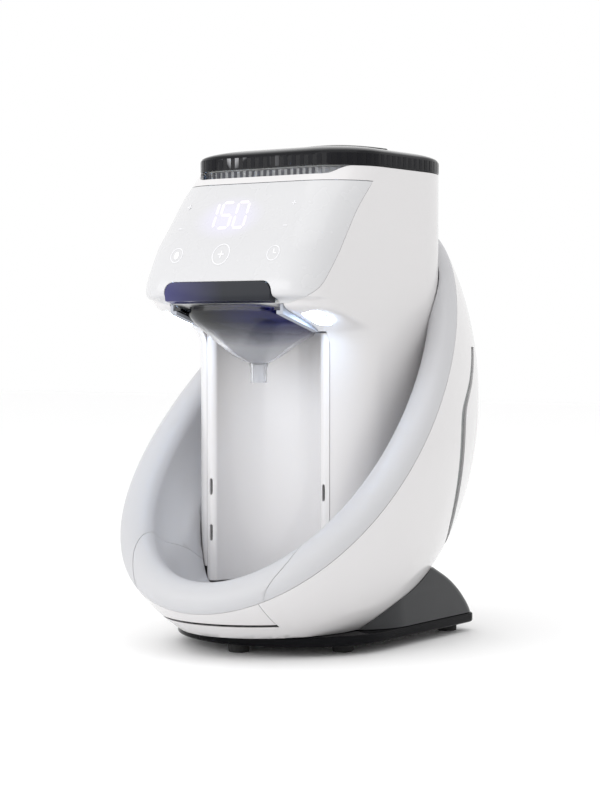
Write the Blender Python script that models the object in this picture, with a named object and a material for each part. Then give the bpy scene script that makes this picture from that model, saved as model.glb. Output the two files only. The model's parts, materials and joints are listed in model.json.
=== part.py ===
"""Baby formula dispenser: an upright tower standing in a tilted, egg-shaped cradle.

The tower carries a powder hopper under a smoked lid, a leaning touch panel and a
pull-out mixing funnel. A bottle stands in the niche below the funnel, on a pull-out
drip tray, and the water tank slides out of the back of the cradle.

Lengths in this file are millimetres and are scaled to metres where a mesh is made.
X is the width, the front faces -Y, Z is up, and the feet stand on Z = 0.
"""

import math

import bmesh
import bpy
from mathutils import Vector

MM = 0.001
CENTRING = 1.73  # moves the bounding box's centre onto the origin, along Y
GAP = 0.4  # clearance between neighbouring shells
SHARP = math.radians(35)

# ---- Driving dimensions -----------------------------------------------------------

# Cradle: half an ellipsoid whose rim plane leans back.
CRADLE_CENTRE = Vector((0.0, -20.0, 150.6))
CRADLE_TILT = math.radians(45.8)
CRADLE_HALF_WIDTH = 102.0
CRADLE_HALF_LENGTH = 170.0
CRADLE_DEPTH = 145.0
CRADLE_TAPER = -0.21  # share by which the cradle narrows towards its top end
CRADLE_WALL = 3.0

# Rolled rim and the basin inside it.
BEAD_WIDTH = 22.0
BEAD_HEIGHT = 10.0
LINER_WALL = 2.5
BASIN_DEPTH = 56.0
POCKET_CENTRE_Y = -74.0
POCKET_HALF_X = 43.0
POCKET_HALF_Y = 40.0
POCKET_FLOOR = 37.0
POCKET_EDGE = 0.35  # width of the pocket's sloping edge, as a share of its radius

# Tower.
TOWER_HALF_WIDTH = 67.0
TOWER_FRONT = -63.0
TOWER_BACK = 73.0
TOWER_FRONT_RADIUS = 32.0
TOWER_BACK_RADIUS = 52.0
TOWER_BOTTOM = 47.0
TOWER_TOP = 299.6
TOWER_WALL = 2.5
FRONT_EDGE = 294.4  # the lowered front of the tower's top edge
# The head juts out over the bottle: height, front face and front corner radius.
HEAD_LEVELS = (
    (TOWER_BOTTOM, TOWER_FRONT, 32.0),
    (190.0, TOWER_FRONT, 32.0),
    (195.0, -65.0, 32.0),
    (200.0, -70.0, 31.0),
    (206.0, -85.0, 28.0),
    (211.5, -100.0, 24.0),
    (216.7, -105.0, 22.0),
    (219.5, -111.0, 22.0),
    (225.0, -112.0, 22.0),
    (233.0, -109.5, 23.0),
    (249.5, -102.0, 25.0),
    (264.0, -91.5, 27.0),
    (281.0, -80.0, 30.0),
    (290.0, -72.0, 31.5),
    (TOWER_TOP, TOWER_FRONT, 32.0),
)
CHIN_LEVELS = (190.0, 218.0)  # heights between which the head's underside lies

# Bottle niche in the tower's front.
NICHE_HALF_WIDTH = 40.5
NICHE_DEPTH = 31.0
BAY_HALF_WIDTH = 47.6
BAY_BOTTOM = 38.2
BAY_TOP = 197.0
BAY_WALL = 2.2
SLOT_X = 43.8
SLOT_CENTRES = (69.0, 98.5)
SLOT_SIZE = (2.2, 10.5)

# Bottle, spout and funnel axis.
SPOUT_Y = -69.0
FUNNEL_SLOPE = math.tan(math.radians(16))
FUNNEL_HALF_WIDTH = 37.0
FUNNEL_FRONT = -105.0
FUNNEL_BACK = -39.0
FUNNEL_WALL = 1.8
SPOUT_RADIUS = 5.2
SPOUT_TOP = 178.0
SPOUT_BOTTOM = 166.0
HANDLE_HALF_WIDTH = 40.6
HANDLE_Y = (-112.4, -106.2)
HANDLE_Z = (216.6, 228.2)
FLANGE_HALF_WIDTH = 40.2

# Front panel.
FASCIA_TOP = 290.4
# The panel's seam, seen from the side, from the top to the lip under the head.
FASCIA_SEAM = (
    (-41.0, FASCIA_TOP),
    (-57.0, 274.0),
    (-67.0, 261.0),
    (-77.0, 247.0),
    (-87.0, 235.0),
    (-95.0, 226.0),
    (-103.0, 219.6),
    (-103.0, 205.0),
)

# Powder drive.
WHEEL_Y = 4.5
WHEEL_RADIUS = 50.0
POCKET_RING = 38.0
POCKET_COUNT = 4
TEETH = 24
TOOTHED_RADIUS = 57.5
DECK_BOTTOM = 246.0
DECK_TOP = 249.6
WHEEL_BOTTOM = 251.0
WHEEL_TOP = 257.5
HOPPER_FLOOR = 258.5
HOPPER_INSET = 3.2
HOPPER_WALL = 2.0
COUPLER_RADIUS = 5.0

# Lid.
LID_BOTTOM = 300.0
LID_WALL = 2.2
GRIP_HALF_LENGTH = 46.0
GRIP_TOP = 319.0
# Height and how far the edge has drawn in.
LID_LEVELS = ((LID_BOTTOM, 0.0), (307.6, 0.0), (309.4, 1.4), (311.2, 6.0), (313.0, 15.0),
              (314.4, 28.0), (315.0, 42.0))

# Base.
PLATE_BOTTOM = 6.0
PLATE_TOP = 12.4
PLATE_HALF_WIDTH = 74.0
PLATE_BACK = 75.0
FOOT_RADIUS = 6.5
FOOT_PLACES = (
    ("foot_front", 0.0, -90.0),
    ("foot_left", -52.0, -52.0),
    ("foot_right", 52.0, -52.0),
    ("foot_rear_left", -58.0, 62.0),
    ("foot_rear_right", 58.0, 62.0),
)

# Water tank: the whole back of the cradle, reaching round and into the tower.
# Its seam in the cradle's side, as (y, z) pairs from the bottom to the top.
TANK_SEAM = (
    (44.0, 57.0),
    (31.0, 61.0),
    (21.0, 71.5),
    (16.5, 82.0),
    (14.3, 96.0),
    (13.8, 112.0),
    (14.2, 130.0),
    (15.6, 142.0),
    (19.0, 149.5),
    (26.5, 156.5),
    (38.5, 166.0),
    (51.0, 178.5),
    (59.0, 188.0),
)
TANK_COVER_STEP = 10.0  # how far behind the seam the white cover starts
TANK_RECESS = 1.4  # how far the grey band between them lies below the cradle's surface
TANK_SKIN = 3.3  # how far the tank's body lies below the cradle's surface
TANK_WALL = 2.4
TANK_NECK_HALF_WIDTH = 47.0
TANK_NECK_FRONT = 32.0
TANK_NECK_Z = (62.0, 158.0)
TANK_FLOOR = 60.0
TANK_TOP = 183.0
FILL_Y = 104.0
FILL_RADIUS = 12.0
VALVE_Z = 74.0
VALVE_TRAVEL = 3.0


# ---- Materials --------------------------------------------------------------------


def material(name, colour, roughness, metallic=0.0, transmission=0.0):
    """A Principled material; colour is linear RGB."""
    made = bpy.data.materials.new(name)
    made.use_nodes = True
    shader = made.node_tree.nodes["Principled BSDF"]
    shader.inputs["Base Color"].default_value = (*colour, 1.0)
    shader.inputs["Roughness"].default_value = roughness
    shader.inputs["Metallic"].default_value = metallic
    shader.inputs["Transmission Weight"].default_value = transmission
    return made


def make_materials():
    return {
        "gloss_white": material("gloss_white", (0.80, 0.80, 0.81), 0.18),
        "satin_white": material("satin_white", (0.66, 0.66, 0.70), 0.38),
        "panel_white": material("panel_white", (0.78, 0.78, 0.80), 0.12),
        "inner_white": material("inner_white", (0.72, 0.72, 0.72), 0.45),
        "smoke": material("smoke", (0.03, 0.03, 0.035), 0.08, transmission=0.5),
        "clear": material("clear", (0.75, 0.76, 0.78), 0.08, transmission=0.8),
        "grey_tank": material("grey_tank", (0.28, 0.30, 0.31), 0.15),
        "gloss_black": material("gloss_black", (0.01, 0.01, 0.01), 0.12),
        "dark_grey": material("dark_grey", (0.06, 0.06, 0.065), 0.35),
        "rubber": material("rubber", (0.012, 0.012, 0.012), 0.75),
        "silicone": material("silicone", (0.5, 0.5, 0.5), 0.6),
        "steel": material("steel", (0.55, 0.55, 0.56), 0.3, metallic=1.0),
        "circuit": material("circuit", (0.01, 0.10, 0.04), 0.5),
        "light_lens": material("light_lens", (0.75, 0.85, 1.0), 0.3),
    }


# ---- Mesh helpers -----------------------------------------------------------------


def in_metres(point):
    """A millimetre point in the part's frame, whose origin is the bounding box's centre."""
    return (Vector(point) + Vector((0.0, CENTRING, 0.0))) * MM


def add_object(name, points, faces, stuff):
    """A mesh object from millimetre points, with its faces turned outwards."""
    mesh = bpy.data.meshes.new(name)
    mesh.from_pydata([in_metres(p) for p in points], [], faces)
    shape = bmesh.new()
    shape.from_mesh(mesh)
    bmesh.ops.recalc_face_normals(shape, faces=shape.faces)
    shape.to_mesh(mesh)
    shape.free()
    mesh.materials.append(stuff)
    mesh.shade_smooth()
    mesh.set_sharp_from_angle(angle=SHARP)
    made = bpy.data.objects.new(name, mesh)
    bpy.context.scene.collection.objects.link(made)
    return made


def helper(made):
    """Marks an object as a cutter or an operand, which isn't part of the model."""
    made.hide_render = True
    made.display_type = "WIRE"
    return made


def boolean(target, operation, other):
    """Adds a Boolean of target with other, which becomes a helper."""
    step = target.modifiers.new(operation.lower(), "BOOLEAN")
    step.operation = operation
    step.solver = "EXACT"
    step.object = helper(other)
    return target


def cut(target, other):
    return boolean(target, "DIFFERENCE", other)


def keep(target, other):
    return boolean(target, "INTERSECT", other)


def join(target, other):
    return boolean(target, "UNION", other)


def loft(name, rings, stuff, closed_profile=False):
    """Skins rings of equal point count; the ends are capped unless the profile closes."""
    count = len(rings[0])
    points = [p for ring in rings for p in ring]
    faces = []
    last = len(rings) if closed_profile else len(rings) - 1
    for i in range(last):
        a, b = i * count, (i + 1) % len(rings) * count
        for j in range(count):
            k = (j + 1) % count
            faces.append((a + j, a + k, b + k, b + j))
    if not closed_profile:
        faces.append(tuple(range(count)))
        faces.append(tuple(range(len(points) - count, len(points))))
    return add_object(name, points, faces, stuff)


def prism(name, outline, low, high, stuff, axis="Z"):
    """An outline of point pairs pushed from low to high along an axis."""

    def place(a, b, h):
        return {"X": (h, a, b), "Y": (a, h, b), "Z": (a, b, h)}[axis]

    rings = [[place(a, b, h) for a, b in outline] for h in (low, high)]
    return loft(name, rings, stuff)


def block(name, low, high, stuff, bevel=0.0, segments=1):
    """A box between two corners, with rounded edges if a bevel is given."""
    outline = [(low[0], low[1]), (high[0], low[1]), (high[0], high[1]), (low[0], high[1])]
    made = prism(name, outline, low[2], high[2], stuff)
    if bevel:
        step = made.modifiers.new("bevel", "BEVEL")
        step.width = bevel * MM
        step.segments = segments
    return made


def circle(radius, segments, centre=(0.0, 0.0), start=0.0):
    turn = 2 * math.pi / segments
    return [
        (
            centre[0] + radius * math.cos(start + i * turn),
            centre[1] + radius * math.sin(start + i * turn),
        )
        for i in range(segments)
    ]


def cylinder(name, centre, radius, low, high, stuff, axis="Z", segments=24):
    """A cylinder; centre holds the two coordinates across its axis."""
    return prism(name, circle(radius, segments, centre), low, high, stuff, axis)


def turned(name, profile, centre, stuff, segments=24, closed_profile=False):
    """Revolves (radius, height) pairs about a vertical axis through centre."""
    rings = [
        [(x, y, h) for x, y in circle(max(r, 0.01), segments, centre)] for r, h in profile
    ]
    return loft(name, rings, stuff, closed_profile)


def hose(name, route, radius, stuff, steps=5):
    """A round tube along a smooth curve through the route's points."""
    data = bpy.data.curves.new(name, "CURVE")
    data.dimensions = "3D"
    data.bevel_depth = radius * MM
    data.bevel_resolution = 1
    data.use_fill_caps = True
    spline = data.splines.new("POLY")
    points = smooth_route(route, steps)
    spline.points.add(len(points) - 1)
    for place, point in zip(spline.points, points):
        place.co = (*in_metres(point), 1.0)
    data.materials.append(stuff)
    made = bpy.data.objects.new(name, data)
    bpy.context.scene.collection.objects.link(made)
    return made


def smooth_route(route, steps):
    """Points of a Catmull-Rom curve through the route."""
    ends = [Vector(p) for p in (route[0], *route, route[-1])]
    found = []
    for a, b, c, d in zip(ends, ends[1:], ends[2:], ends[3:]):
        for i in range(steps):
            t = i / steps
            found.append(
                0.5
                * (2 * b + (c - a) * t + (2 * a - 5 * b + 4 * c - d) * t**2
                   + (3 * b - a - 3 * c + d) * t**3)
            )
    return [*found, ends[-1]]


def smoothstep(low, high, value):
    t = min(1.0, max(0.0, (value - low) / (high - low)))
    return t * t * (3 - 2 * t)


# ---- Plan outlines ----------------------------------------------------------------


def rounded_plan(half_x, front, back, front_radius, back_radius, steps=7):
    """A rounded rectangle in plan, anticlockwise from the right of the front edge."""
    corners = (
        (half_x - front_radius, front + front_radius, front_radius, -90),
        (half_x - back_radius, back - back_radius, back_radius, 0),
        (-half_x + back_radius, back - back_radius, back_radius, 90),
        (-half_x + front_radius, front + front_radius, front_radius, 180),
    )
    outline = []
    for x, y, radius, start in corners:
        for i in range(steps + 1):
            turn = math.radians(start + 90 * i / steps)
            outline.append((x + radius * math.cos(turn), y + radius * math.sin(turn)))
    return outline


def tower_plan(grow=0.0, steps=7):
    """The tower's outline, grown outwards by some millimetres."""
    return rounded_plan(
        TOWER_HALF_WIDTH + grow,
        TOWER_FRONT - grow,
        TOWER_BACK + grow,
        TOWER_FRONT_RADIUS + grow,
        TOWER_BACK_RADIUS + grow,
        steps,
    )


def niche_arc(grow=0.0, steps=14):
    """The niche's half-ellipse in plan, from right to left; grow widens the niche."""
    half, depth = NICHE_HALF_WIDTH + grow, NICHE_DEPTH + grow
    return [
        (half * math.cos(math.pi * i / steps), TOWER_FRONT + depth * math.sin(math.pi * i / steps))
        for i in range(steps + 1)
    ]


def column_plan(grow=0.0):
    """The tower's outline with the bottle niche cut into its front."""
    half = NICHE_HALF_WIDTH - grow
    wall = [p for p in tower_plan(grow) if abs(p[0]) > half or p[1] > 0]
    return wall + niche_arc(-grow)[::-1]


def plate_plan(inset=0.0):
    """The base plate: a half-ellipse in front and a squared-off tail behind."""
    middle, depth, corner, steps = -37.0, 66.0, 9.0, 18
    half = PLATE_HALF_WIDTH - inset
    outline = []
    for i in range(steps + 1):
        turn = math.pi + math.pi * i / steps
        outline.append((half * math.cos(turn), middle + (depth - inset) * math.sin(turn)))
    for side in (1, -1):
        for i in range(4):
            turn = math.radians(30 * i if side > 0 else 90 + 30 * i)
            outline.append(
                (
                    side * (half - corner) + corner * math.cos(turn),
                    PLATE_BACK - inset - corner + corner * math.sin(turn),
                )
            )
    return outline


def superellipse(centre, half, power, steps=40):
    """A squarish oval of point pairs."""
    outline = []
    for i in range(steps):
        c, s = math.cos(2 * math.pi * i / steps), math.sin(2 * math.pi * i / steps)
        outline.append(
            (
                centre[0] + half[0] * math.copysign(abs(c) ** (2 / power), c),
                centre[1] + half[1] * math.copysign(abs(s) ** (2 / power), s),
            )
        )
    return outline


# ---- Cradle shapes ----------------------------------------------------------------


def cradle_point(turn, reach_x, reach_y, down):
    """A point of the tilted cradle. turn runs round the rim, reach_x and reach_y are
    half-axes in the rim plane, and down is the distance below that plane."""
    along = reach_y * math.sin(turn)
    taper = 1 + CRADLE_TAPER * along / CRADLE_HALF_LENGTH
    c, s = math.cos(CRADLE_TILT), math.sin(CRADLE_TILT)
    x = reach_x * math.cos(turn) * taper
    y = CRADLE_CENTRE.y + along * c + down * s
    z = CRADLE_CENTRE.z + along * s - down * c
    return (x, y, z)


def cradle_rings(inset, turns, depths):
    """Rings of the ellipsoid, inset from its outside, from the rim to near its pole."""
    rings = []
    for i in range(depths):
        lean = math.pi / 2 * i / depths
        reach, down = math.cos(lean), math.sin(lean) * (CRADLE_DEPTH - inset)
        rings.append(
            [
                cradle_point(
                    2 * math.pi * j / turns,
                    (CRADLE_HALF_WIDTH - inset) * reach,
                    (CRADLE_HALF_LENGTH - inset) * reach,
                    down,
                )
                for j in range(turns)
            ]
        )
    return rings


def cradle_shell(name, outer, inner, stuff, turns=36, depths=9):
    """The wall between two insets of the ellipsoid, closed along the rim."""
    rings = cradle_rings(inner, turns, depths)[::-1] + cradle_rings(outer, turns, depths)
    return loft(name, rings, stuff)


def cradle_egg(name, inset, stuff, turns=36, depths=9):
    """The ellipsoid's lower half as one filled body."""
    return loft(name, cradle_rings(inset, turns, depths), stuff)


def basin_profile(skin, steps):
    """(inward offset, drop below the rim plane) pairs from the rim's seam to the basin's
    bottom. skin is 0 for the top face and the wall's thickness for the underside."""
    half = BEAD_WIDTH / 2
    profile = []
    for i in range(7):
        a = math.pi * i / 6
        rise = (BEAD_HEIGHT - skin) * math.sin(a) + (GAP if i == 0 else 0.0)
        profile.append((half - (half - skin) * math.cos(a), -rise))
    for i in range(1, steps):
        a = math.pi / 2 * i / steps
        profile.append((1 - math.cos(a), (BASIN_DEPTH + skin) * math.sin(a)))
    return profile


def basin_cutter(name, grow, stuff, turns=32, steps=7):
    """A body filling the basin and all above it, grown by some millimetres."""
    reach_x = CRADLE_HALF_WIDTH - BEAD_WIDTH + grow
    reach_y = CRADLE_HALF_LENGTH - BEAD_WIDTH + grow
    rings = []
    for i in range(-1, steps):
        a = math.pi / 2 * max(i, 0) / steps
        down = -90.0 if i < 0 else (BASIN_DEPTH + grow) * math.sin(a)
        turn = 2 * math.pi / turns
        rings.append(
            [
                cradle_point(j * turn, reach_x * math.cos(a), reach_y * math.cos(a), down)
                for j in range(turns)
            ]
        )
    return loft(name, rings, stuff)


def sink_into_pocket(point, skin):
    """Lowers a basin point onto the flat pocket that the bottle stands in. The pocket runs
    on back under the tower, where it climbs gently."""
    x, y, z = point
    away = math.hypot(x / POCKET_HALF_X, min(0.0, y - POCKET_CENTRE_Y) / POCKET_HALF_Y)
    edge = POCKET_EDGE + 0.2 * smoothstep(-75.0, -45.0, y)
    share = (1 - smoothstep(1.0, 1.0 + edge, away)) * (1 - smoothstep(-28.0, 45.0, y))
    floor = POCKET_FLOOR - skin
    return (x, y, z + (floor - z) * share) if z > floor - 20 else point


def basin_rings(skin, turns, steps):
    """Rings of the liner's top face (skin 0) or underside, from the seam inwards."""
    rings = []
    for i, (inward, down) in enumerate(basin_profile(skin, steps)):
        ring = []
        for j in range(turns):
            turn = 2 * math.pi * j / turns
            if i < 7:
                reach_x = CRADLE_HALF_WIDTH - inward
                reach_y = CRADLE_HALF_LENGTH - inward
                point = cradle_point(turn, reach_x, reach_y, down)
            else:
                edge = BEAD_WIDTH - skin
                reach_x = (CRADLE_HALF_WIDTH - edge) * (1 - inward)
                reach_y = (CRADLE_HALF_LENGTH - edge) * (1 - inward)
                point = sink_into_pocket(cradle_point(turn, reach_x, reach_y, down), skin)
            ring.append(point)
        rings.append(ring)
    return rings


def basin_body(name, stuff, turns=44, steps=8):
    """The whole rolled rim and basin as one skin, before the tower and tray are cut."""
    top = basin_rings(0.0, turns, steps)
    under = basin_rings(LINER_WALL, turns, steps)
    return loft(name, under[::-1] + top, stuff)


def tilted_prism(name, outline, up, down, stuff):
    """An outline in the rim plane pushed square to it, from above the rim to below it."""
    c, s = math.cos(CRADLE_TILT), math.sin(CRADLE_TILT)
    rings = [
        [(x, CRADLE_CENTRE.y + a * c + d * s, CRADLE_CENTRE.z + a * s - d * c) for x, a in outline]
        for d in (-up, down)
    ]
    return loft(name, rings, stuff)


def tray_outline(inset=0.0):
    """Where the drip tray parts from the liner, in the rim plane. The tray comes off square
    to that plane, so every width is clear on the way out."""
    right = [(44.0, -84.0), (48.5, -92.5), (56.5, -105.0), (60.5, -119.0), (59.0, -133.0),
             (53.0, -147.0), (46.0, -161.0), (46.0, -210.0)]
    right = [(x - inset, a - (inset if i == 0 else 0)) for i, (x, a) in enumerate(right)]
    return [(-x, a) for x, a in right] + right[::-1]


# ---- Base -------------------------------------------------------------------------


def make_base(mats):
    prism("base_plate", plate_plan(), PLATE_BOTTOM, PLATE_TOP, mats["gloss_black"])
    for name, x, y in FOOT_PLACES:
        profile = ((0, 0), (FOOT_RADIUS - 0.8, 0), (FOOT_RADIUS, 0.8), (FOOT_RADIUS, 5.6), (0, 5.6))
        turned(name, profile, (x, y), mats["rubber"], 12)

    levels = ((12.8, 0.4, 74.6), (15.0, 0.8, 74.0), (21.0, 1.6, 70.0), (29.0, 2.4, 62.0),
              (37.0, 3.4, 51.0), (45.0, 5.0, 36.0))
    rings = []
    for z, inset, back in levels:
        half = PLATE_HALF_WIDTH - inset
        plan = rounded_plan(half, -52.0, back, 40.0, 12.0, 5)
        rings.append([(x, y, z) for x, y in plan])
    tail = loft("tail_cover", rings, mats["dark_grey"])
    cut(tail, cradle_egg("tail_cradle_cutter", -GAP, mats["dark_grey"]))
    cut(tail, block("tail_inlet_cutter", (-13.6, 30, 12.0), (13.6, 90, 28.0), mats["dark_grey"]))

    for i, (x, y) in enumerate(((-38, -70), (38, -70), (-40, 40), (40, 40))):
        shank = cylinder(f"base_screw_{i + 1}", (x, y), 1.5, 3.6, 9.0, mats["steel"], segments=10)
        join(shank, cylinder(f"screw_head_{i + 1}", (x, y), 3.2, 3.6, 5.7, mats["steel"], segments=12))
        plate = bpy.data.objects["base_plate"]
        cut(plate, cylinder(f"screw_hole_{i + 1}", (x, y), 1.8, 0.0, 20.0, mats["steel"], segments=10))


def make_inlet(mats):
    """Mains inlet, flush with the tail's slope, with a two-pin socket."""
    side = ((46, 13.2), (74.2, 13.2), (73.6, 15.2), (69.4, 21.0), (62.6, 27.4), (46, 27.4))
    body = prism("power_inlet", side, -13.0, 13.0, mats["gloss_black"], "X")
    pocket = superellipse((0, 20.3), (9, 4.6), 3.0, 20)
    cut(body, prism("inlet_pocket", pocket, 60, 90, mats["gloss_black"], "Y"))
    for i, x in enumerate((-4.3, 4.3)):
        cylinder(f"inlet_pin_{i + 1}", (x, 20.3), 1.2, 55.0, 67.0, mats["steel"], "Y", 10)
        cut(body, cylinder(f"pin_bore_{i + 1}", (x, 20.3), 1.6, 54.6, 66.0, mats["steel"], "Y", 10))


# ---- Cradle -----------------------------------------------------------------------


def tank_outline(step=0.0, inset=0.0):
    """The tank's outline seen from the side: (y, z) pairs. step moves it backwards."""
    low, high = TANK_SEAM[0][1] + inset, TANK_SEAM[-1][1] - inset
    seam = [(y + step + inset, min(high, max(low, z))) for y, z in TANK_SEAM]
    return [(200.0, low), *seam, (200.0, high)]


def make_cradle(mats):
    bowl = cradle_shell("cradle_bowl", 0.0, CRADLE_WALL, mats["gloss_white"])
    cut(bowl, block("ground_cutter", (-200, -250, -100), (200, 250, 12.8), mats["gloss_white"]))
    cut(bowl, prism("tank_cutter", tank_outline(), -150, 150, mats["gloss_white"], "X"))
    cut(bowl, block("front_cutter", (-45, -200, 21.2), (45, -90, 80), mats["gloss_white"]))
    cut(bowl, block("bowl_inlet_cutter", (-13.6, 30, 12.0), (13.6, 90, 28.0), mats["gloss_white"]))

    liner = basin_body("cradle_liner", mats["satin_white"])
    cut(liner, prism("liner_tower_cutter", tower_plan(0.6), -50, 400, mats["satin_white"]))
    cut(liner, tilted_prism("liner_tray_cutter", tray_outline(), 90, 120, mats["satin_white"]))


def make_tray(mats):
    tray = basin_body("drip_tray", mats["satin_white"])
    keep(tray, tilted_prism("tray_keeper", tray_outline(GAP), 90, 120, mats["satin_white"]))
    cut(tray, prism("tray_column_cutter", column_plan(0.8), -50, 400, mats["satin_white"]))
    for step in tray.modifiers:
        step.solver = "MANIFOLD"  # the exact solver leaves nothing of this steep skin
    front = cradle_shell("tray_front", 0.0, CRADLE_WALL, mats["gloss_white"])
    keep(front, block("tray_front_keeper", (-44.6, -200, 22.8), (44.6, -90, 80), mats["satin_white"]))


# ---- Tower ------------------------------------------------------------------------


def tower_rings(grow, steps=4):
    """The tower and its head as plan outlines. Inside, the head's floor is lifted too, so
    the wall keeps its thickness under the chin."""
    rings = []
    for z, front, radius in HEAD_LEVELS:
        lift = -grow if CHIN_LEVELS[0] < z < CHIN_LEVELS[1] else 0.0
        plan = rounded_plan(
            TOWER_HALF_WIDTH + grow,
            front - grow,
            TOWER_BACK + grow,
            radius + grow,
            TOWER_BACK_RADIUS + grow,
            steps,
        )
        rings.append([(x, y, z + lift) for x, y in plan])
    return rings


def tower_tube(name, stuff):
    """The wall of the tower and head, open at the top and the bottom."""
    rings = tower_rings(-TOWER_WALL)[::-1] + tower_rings(0.0)
    return loft(name, rings, stuff, closed_profile=True)


def fascia_outline(inset=0.0):
    """Everything in front of the panel's seam, seen from the side."""
    seam = [(y - inset, z - (inset if i == 0 else 0)) for i, (y, z) in enumerate(FASCIA_SEAM)]
    return [*seam, (-140.0, 205.0), (-140.0, FASCIA_TOP - inset)]


def sloped(name, outline, back, front, stuff, anchor=SPOUT_Y):
    """An (x, z) outline pushed along the funnel's slope, rising towards the front. The
    outline's heights hold at the anchor's y."""
    rings = [
        [(x, y, z - (y - anchor) * FUNNEL_SLOPE) for x, z in outline] for y in (front, back)
    ]
    return loft(name, rings, stuff)


def handle_outline(grow=0.0):
    """The funnel's front bar, with its top corners rounded."""
    half, low, high, radius = HANDLE_HALF_WIDTH + grow, HANDLE_Z[0], HANDLE_Z[1] + grow, 7.0
    right = [
        (half - radius + radius * math.cos(a), high - radius + radius * math.sin(a))
        for a in (math.radians(18 * i) for i in range(6))
    ]
    right.insert(0, (half - 0.5, low - (60 if grow else 0)))
    return right + [(-x, z) for x, z in right[::-1]]


def front_edge_outline():
    """The dip in the tower's top edge above the panel, seen from the front."""
    right = [(46.0, FRONT_EDGE), (50.0, FRONT_EDGE + 0.6), (53.0, FRONT_EDGE + 2.4),
             (56.0, FRONT_EDGE + 4.4), (60.0, TOWER_TOP + 0.5), (60.0, 320.0)]
    return [(-x, z) for x, z in right[::-1]] + right


def make_tower(mats):
    white = mats["gloss_white"]
    shell = tower_tube("tower_shell", white)
    cut(shell, prism("seam_cutter", fascia_outline(), -100, 100, white, "X"))
    cut(shell, block("bay_cutter", (-BAY_HALF_WIDTH - GAP, -66, 30), (BAY_HALF_WIDTH + GAP, -30, 198), white))
    cut(shell, block("chin_cutter", (-43.6, -140, 185), (43.6, -50, 218), white))
    cut(shell, prism("edge_cutter", front_edge_outline(), -120, -20, white, "Y"))
    neck = TANK_NECK_HALF_WIDTH + 2
    cut(shell, block("rear_cutter", (-100, 8, 30), (100, 100, 62), white))
    cut(shell, block("neck_cutter", (-neck, 25, 30), (neck, 90, TANK_NECK_Z[1] + 3), white))

    fascia = tower_tube("control_fascia", mats["panel_white"])
    keep(fascia, prism("fascia_keeper", fascia_outline(GAP), -100, 100, white, "X"))
    notch = handle_outline(0.5)
    cut(fascia, sloped("notch_cutter", notch, -90, -130, white, anchor=HANDLE_Y[0]))

    for side, sign in (("left", -1), ("right", 1)):
        centre = (sign * 53.5, -82.0)
        window = superellipse(centre, (6.4, 10.4), 4.0, 20)
        cut(shell, prism(f"lens_cutter_{side}", window, 190, 215, white))
        plan = superellipse(centre, (6.0, 10.0), 4.0, 20)
        rings = [
            [(x, y, 204.9 - 0.385 * (y + 82) + h) for x, y in plan] for h in (0.4, 2.8)
        ]
        loft(f"light_lens_{side}", rings, mats["light_lens"])


def bay_outline():
    """The bay panel in plan: two side bands and the niche between them, as a strip."""
    front = []
    for x in (-BAY_HALF_WIDTH, -44.0):
        offset = 32.0 - math.sqrt(32.0**2 - max(0.0, abs(x) - 35.0) ** 2)
        front.append((x, TOWER_FRONT + offset))
    front += niche_arc(0.0, 16)[::-1]
    front += [(-x, y) for x, y in front[1::-1]]
    back = [(x, y + BAY_WALL) for x, y in front[:2]]
    back += niche_arc(BAY_WALL, 16)[::-1]
    back[2] = (back[2][0] , back[2][1] + BAY_WALL)
    back[-1] = (back[-1][0], back[-1][1] + BAY_WALL)
    back += [(-x, y) for x, y in back[1::-1]]
    return front + back[::-1]


def make_bay(mats):
    panel = prism("bay_panel", bay_outline(), BAY_BOTTOM, BAY_TOP, mats["gloss_white"])
    for sign in (-1, 1):
        for i, z in enumerate(SLOT_CENTRES):
            low = (sign * SLOT_X - SLOT_SIZE[0] / 2, -80, z - SLOT_SIZE[1] / 2)
            high = (sign * SLOT_X + SLOT_SIZE[0] / 2, -40, z + SLOT_SIZE[1] / 2)
            cut(panel, block(f"slot_{i}_{sign}", low, high, mats["gloss_white"]))


# ---- Funnel -----------------------------------------------------------------------


def funnel_top(y):
    """Height of the funnel's sloping top edge."""
    return 203.7 - (y - SPOUT_Y) * FUNNEL_SLOPE


def funnel_ring(share, wall, drop, turns=26):
    """A ring of the funnel: share 1 is its mouth, 0 its spout. wall insets it, and drop
    is the way down from the mouth's plane to the top of the spout."""
    ring = []
    for i in range(turns):
        c, s = math.cos(2 * math.pi * i / turns), math.sin(2 * math.pi * i / turns)
        power, reach = (2.0, FUNNEL_BACK - SPOUT_Y) if s > 0 else (4.0, SPOUT_Y - FUNNEL_FRONT)
        mouth_x = (FUNNEL_HALF_WIDTH - wall) * math.copysign(abs(c) ** (2 / power), c)
        mouth_y = (reach - wall) * math.copysign(abs(s) ** (2 / power), s)
        spout = SPOUT_RADIUS + 1.0 - wall
        x = spout * c + (mouth_x - spout * c) * share
        y = SPOUT_Y + spout * s + (mouth_y - spout * s) * share
        top = funnel_top(y)
        ring.append((x, y, top + (SPOUT_TOP + wall * 0.4 - top) * drop))
    return ring


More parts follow.
